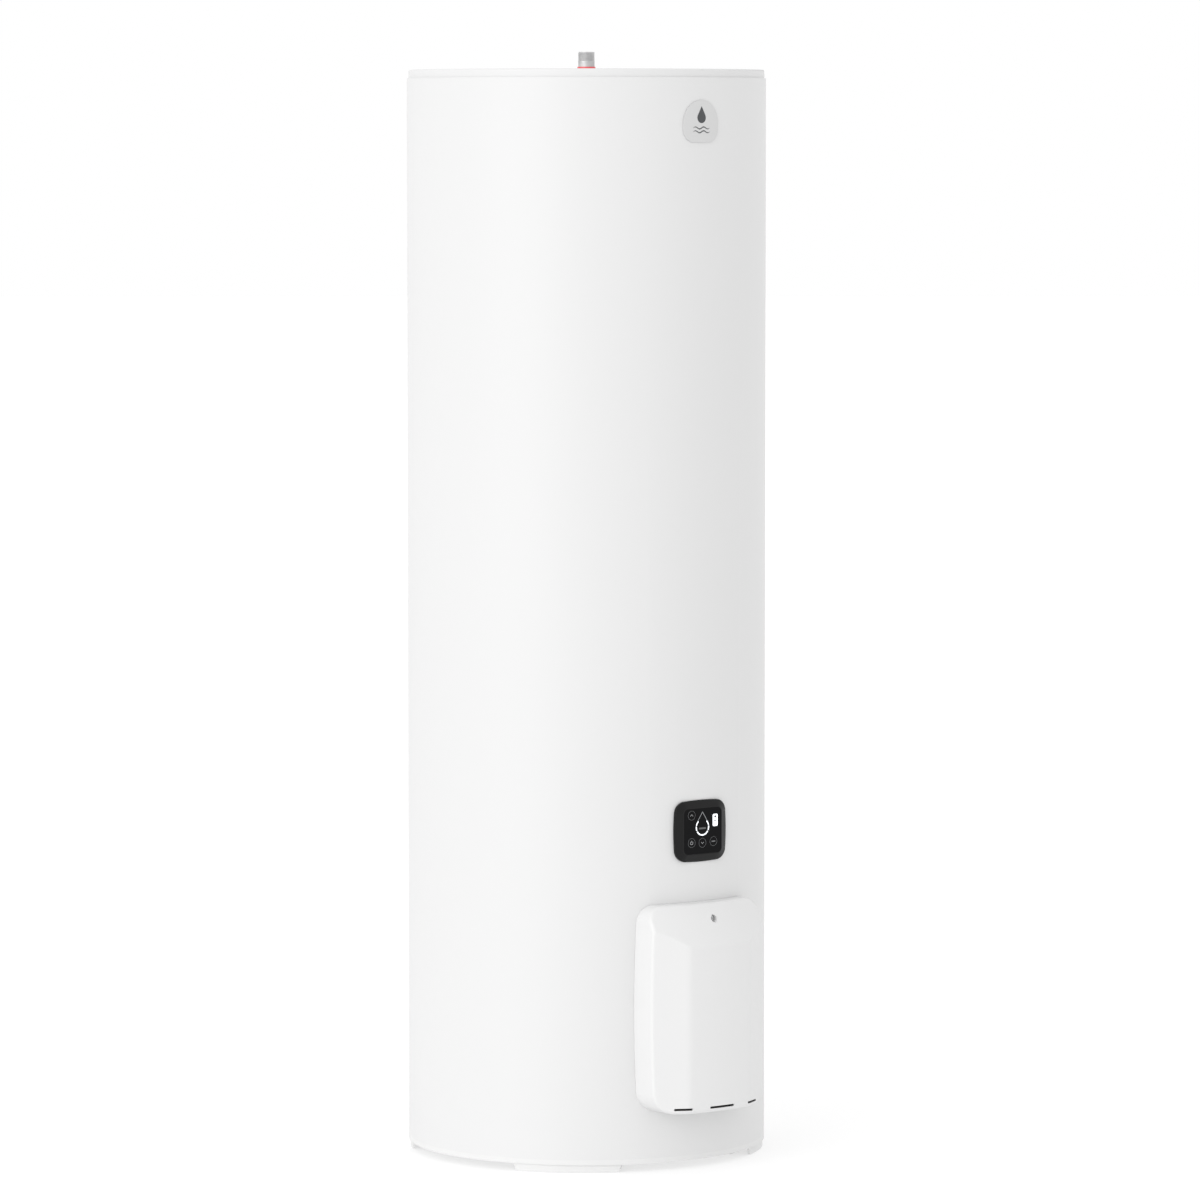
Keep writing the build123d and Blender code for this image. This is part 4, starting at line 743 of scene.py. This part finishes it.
finish(grained("gloss_black", (0.003, 0.003, 0.0032), (0.10, 0.16), grain_scale=300, relief=0.00001,
               specular=0.25), "panel_bezel")
soften(BEZEL_EDGE, "panel_bezel")
finish(grained("dark_glass", (0.0035, 0.0035, 0.004), (0.05, 0.09), grain_scale=200, relief=0.000004,
               specular=0.09), "panel_glass")
finish(black_moulding, "panel_housing", "display_parts")
finish(green_board, "panel_board")
finish(grey_moulding, "panel_conduit")
wire_jacket("panel_cable", (0.22, 0.22, 0.23))


def on_front(distance):
    """Maps a width and a height to a flat front at that distance before the axis."""
    return lambda x, z, out: (x, -(distance + out), z)


glass_lo, glass_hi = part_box("panel_glass")
panel_z = (glass_lo.z + glass_hi.z) / 2
glass_front = on_front(-glass_lo.y)


def lit(name, colour, strength):
    """Light showing through the glass, a little uneven over each symbol."""
    material, tree, shader = new_material(name)
    place = node_in(tree, "ShaderNodeTexCoord")
    cloud = node_in(tree, "ShaderNodeTexNoise")
    cloud.inputs["Scale"].default_value = LIT_SCALE
    tree.links.new(place.outputs["Object"], cloud.inputs["Vector"])
    mix = node_in(tree, "ShaderNodeMix", data_type="RGBA")
    mix.inputs["A"].default_value = (*[LIT_DIM_SHARE * c for c in colour], 1)
    mix.inputs["B"].default_value = (*colour, 1)
    tree.links.new(cloud.outputs["Fac"], mix.inputs["Factor"])
    tree.links.new(mix.outputs["Result"], shader.inputs["Base Color"])
    tree.links.new(mix.outputs["Result"], shader.inputs["Emission Color"])
    shader.inputs["Emission Strength"].default_value = strength
    shader.inputs["Roughness"].default_value = LIT_ROUGHNESS
    return material


def arc_band(x, z, radius, width, start, stop, steps):
    """Flat band along an arc, its angles in degrees from straight down."""
    left, right = [], []
    for i in range(steps + 1):
        a = math.radians(start + (stop - start) * i / steps)
        left.append((x + (radius - width / 2) * math.sin(a), z - (radius - width / 2) * math.cos(a)))
        right.append((x + (radius + width / 2) * math.sin(a), z - (radius + width / 2) * math.cos(a)))
    return left, right


def line_band(points, width):
    """Flat band of even width along a run of points."""
    left, right = [], []
    for i, (x, z) in enumerate(points):
        x0, z0 = points[max(0, i - 1)]
        x1, z1 = points[min(len(points) - 1, i + 1)]
        size = math.hypot(x1 - x0, z1 - z0)
        nx, nz = -(z1 - z0) / size * width / 2, (x1 - x0) / size * width / 2
        left.append((x + nx, z + nz))
        right.append((x - nx, z - nz))
    return left, right


def circle_band(x, z, radius, width):
    """Whole ring."""
    left, right = arc_band(x, z, radius, width, 0, 360, KEY_STEPS)
    return left[:-1], right[:-1]


def box_band(x, z, half_x, half_z):
    """Filled rectangle with rounded corners."""
    r = min(half_x, half_z) * CORNER_SHARE
    curve = [(r * (1 - math.sin(a)), r * (1 - math.cos(a)))
             for a in (i / CORNER_STEPS * math.pi / 2 for i in range(CORNER_STEPS + 1))]
    rows = [(half_x - inset, -half_z + rise) for inset, rise in curve]
    rows += [(half_x - inset, half_z - rise) for inset, rise in reversed(curve)]
    return [(x - w, z + h) for w, h in rows], [(x + w, z + h) for w, h in rows]


def arrow(x, z, tip):
    """Open arrowhead on a key, its tip up or down."""
    return line_band([(x - ICON_HALF, z - ICON_ENDS * tip), (x, z + ICON_TIP * tip),
                      (x + ICON_HALF, z - ICON_ENDS * tip)], ICON_LINE)


def symbols(name, bands, material, base=0.0, closed=False):
    """Thin raised symbols on the glass."""
    parts = [ribbon(left, right, glass_front, base, SYMBOL_T, closed) for left, right in bands]
    return piece(name, *joined(parts), material, smooth=False)


lit_white = lit("lit_white", LIT_WHITE, WHITE_GLOW)
symbols("lit_gauge_ring", [arc_band(0, panel_z + RING_CENTRE_Z, RING_R, RING_W, start, stop, ARC_STEPS)
                           for start, stop in RING_ARCS], lit_white)

outline = drop_outline(DROP_W, panel_z + DROP_FOOT, panel_z + DROP_TIP, DROP_STEPS)
drop_half = [(x, z) for x, z in outline if z > panel_z + DROP_LINE_FROM]
upper_drop = drop_half + [(0, panel_z + DROP_TIP)] + [(-x, z) for x, z in reversed(drop_half)]
symbols("lit_drop_line", [line_band(upper_drop, DROP_LINE)], lit("lit_grey", LIT_GREY, LINE_GLOW))
symbols("lit_middle_bar", [box_band(0, panel_z + BAR_Z, *BAR_HALF)],
        lit("lit_middle_grey", BAR_GREY, BAR_GLOW))

level_x, level_z = LEVEL_PLACE
symbols("lit_level_tube", [box_band(level_x, panel_z + level_z, *LEVEL_HALF)], lit_white)
symbols("level_tube_marks", [box_band(level_x, panel_z + level_z + dz, half_x, half_z)
                             for dz, half_x, half_z in LEVEL_MARKS], black_moulding, SYMBOL_T)

symbols("touch_key_rings", [circle_band(x, panel_z + z, KEY_R, KEY_LINE) for x, z in KEY_PLACES],
        lit("lit_key_grey", KEY_GREY, KEY_GLOW), closed=True)

(up_x, up_z), (power_x, power_z), (down_x, down_z), (menu_x, menu_z) = KEY_PLACES
icons = [arrow(up_x, panel_z + up_z, 1),
         arc_band(power_x, panel_z + power_z, POWER_R, ICON_LINE, -POWER_ARC, POWER_ARC, POWER_STEPS),
         box_band(power_x, panel_z + power_z + POWER_BAR_Z, ICON_LINE / 2, POWER_BAR_HALF),
         arrow(down_x, panel_z + down_z, -1)]
icons += [box_band(menu_x + dx, panel_z + menu_z, DOT_HALF, DOT_HALF) for dx in (-DOT_STEP, 0, DOT_STEP)]
symbols("touch_key_icons", icons, lit("lit_icon_white", ICON_GREY, ICON_GLOW))


# ============================================================= studio and light
# White paper on the floor, which glows faintly so that its edge is lost in the sky, an
# even white sky, and one very broad soft light from the left.

FLOOR_HALF = 60.0
FLOOR_DROP = 0.0005
SKY_LIGHT = 1.0
PAPER_WHITE = (0.47, 0.47, 0.47)
PAPER_GLOW = 0.52
SOFT_LIGHT_POWER = 1.12
SOFT_LIGHT_SPREAD = 50
SOFT_LIGHT_AZIMUTH = -79
SOFT_LIGHT_ELEVATION = 16

floor_mesh = bpy.data.meshes.new("studio_floor")
floor_mesh.from_pydata([(x * FLOOR_HALF, y * FLOOR_HALF, -FLOOR_DROP)
                        for x, y in ((-1, -1), (1, -1), (1, 1), (-1, 1))], [], [(0, 1, 2, 3)])
studio_floor = bpy.data.objects.new("studio_floor", floor_mesh)
bpy.context.scene.collection.objects.link(studio_floor)
paper = grained("studio_paper", PAPER_WHITE, (0.8, 0.9), grain_scale=200, relief=0.00002, patch=(2, 0.003))
paper_shader = paper.node_tree.nodes["Principled BSDF"]
paper_shader.inputs["Emission Color"].default_value = (1, 1, 1, 1)
paper_shader.inputs["Emission Strength"].default_value = PAPER_GLOW
floor_mesh.materials.append(paper)

sky = bpy.data.worlds.new("studio_sky")
sky.use_nodes = True
sky.node_tree.nodes["Background"].inputs["Color"].default_value = (1, 1, 1, 1)
sky.node_tree.nodes["Background"].inputs["Strength"].default_value = SKY_LIGHT
bpy.context.scene.world = sky

soft_light = bpy.data.lights.new("soft_light", "SUN")
soft_light.angle = math.radians(SOFT_LIGHT_SPREAD)
soft_light.energy = SOFT_LIGHT_POWER
lamp = bpy.data.objects.new("soft_light", soft_light)
azimuth, rise = math.radians(SOFT_LIGHT_AZIMUTH), math.radians(SOFT_LIGHT_ELEVATION)
towards = Vector((math.sin(azimuth) * math.cos(rise), -math.cos(azimuth) * math.cos(rise), math.sin(rise)))
lamp.rotation_euler = towards.to_track_quat("Z", "Y").to_euler()
bpy.context.scene.collection.objects.link(lamp)

bpy.context.scene.view_settings.view_transform = "Standard"
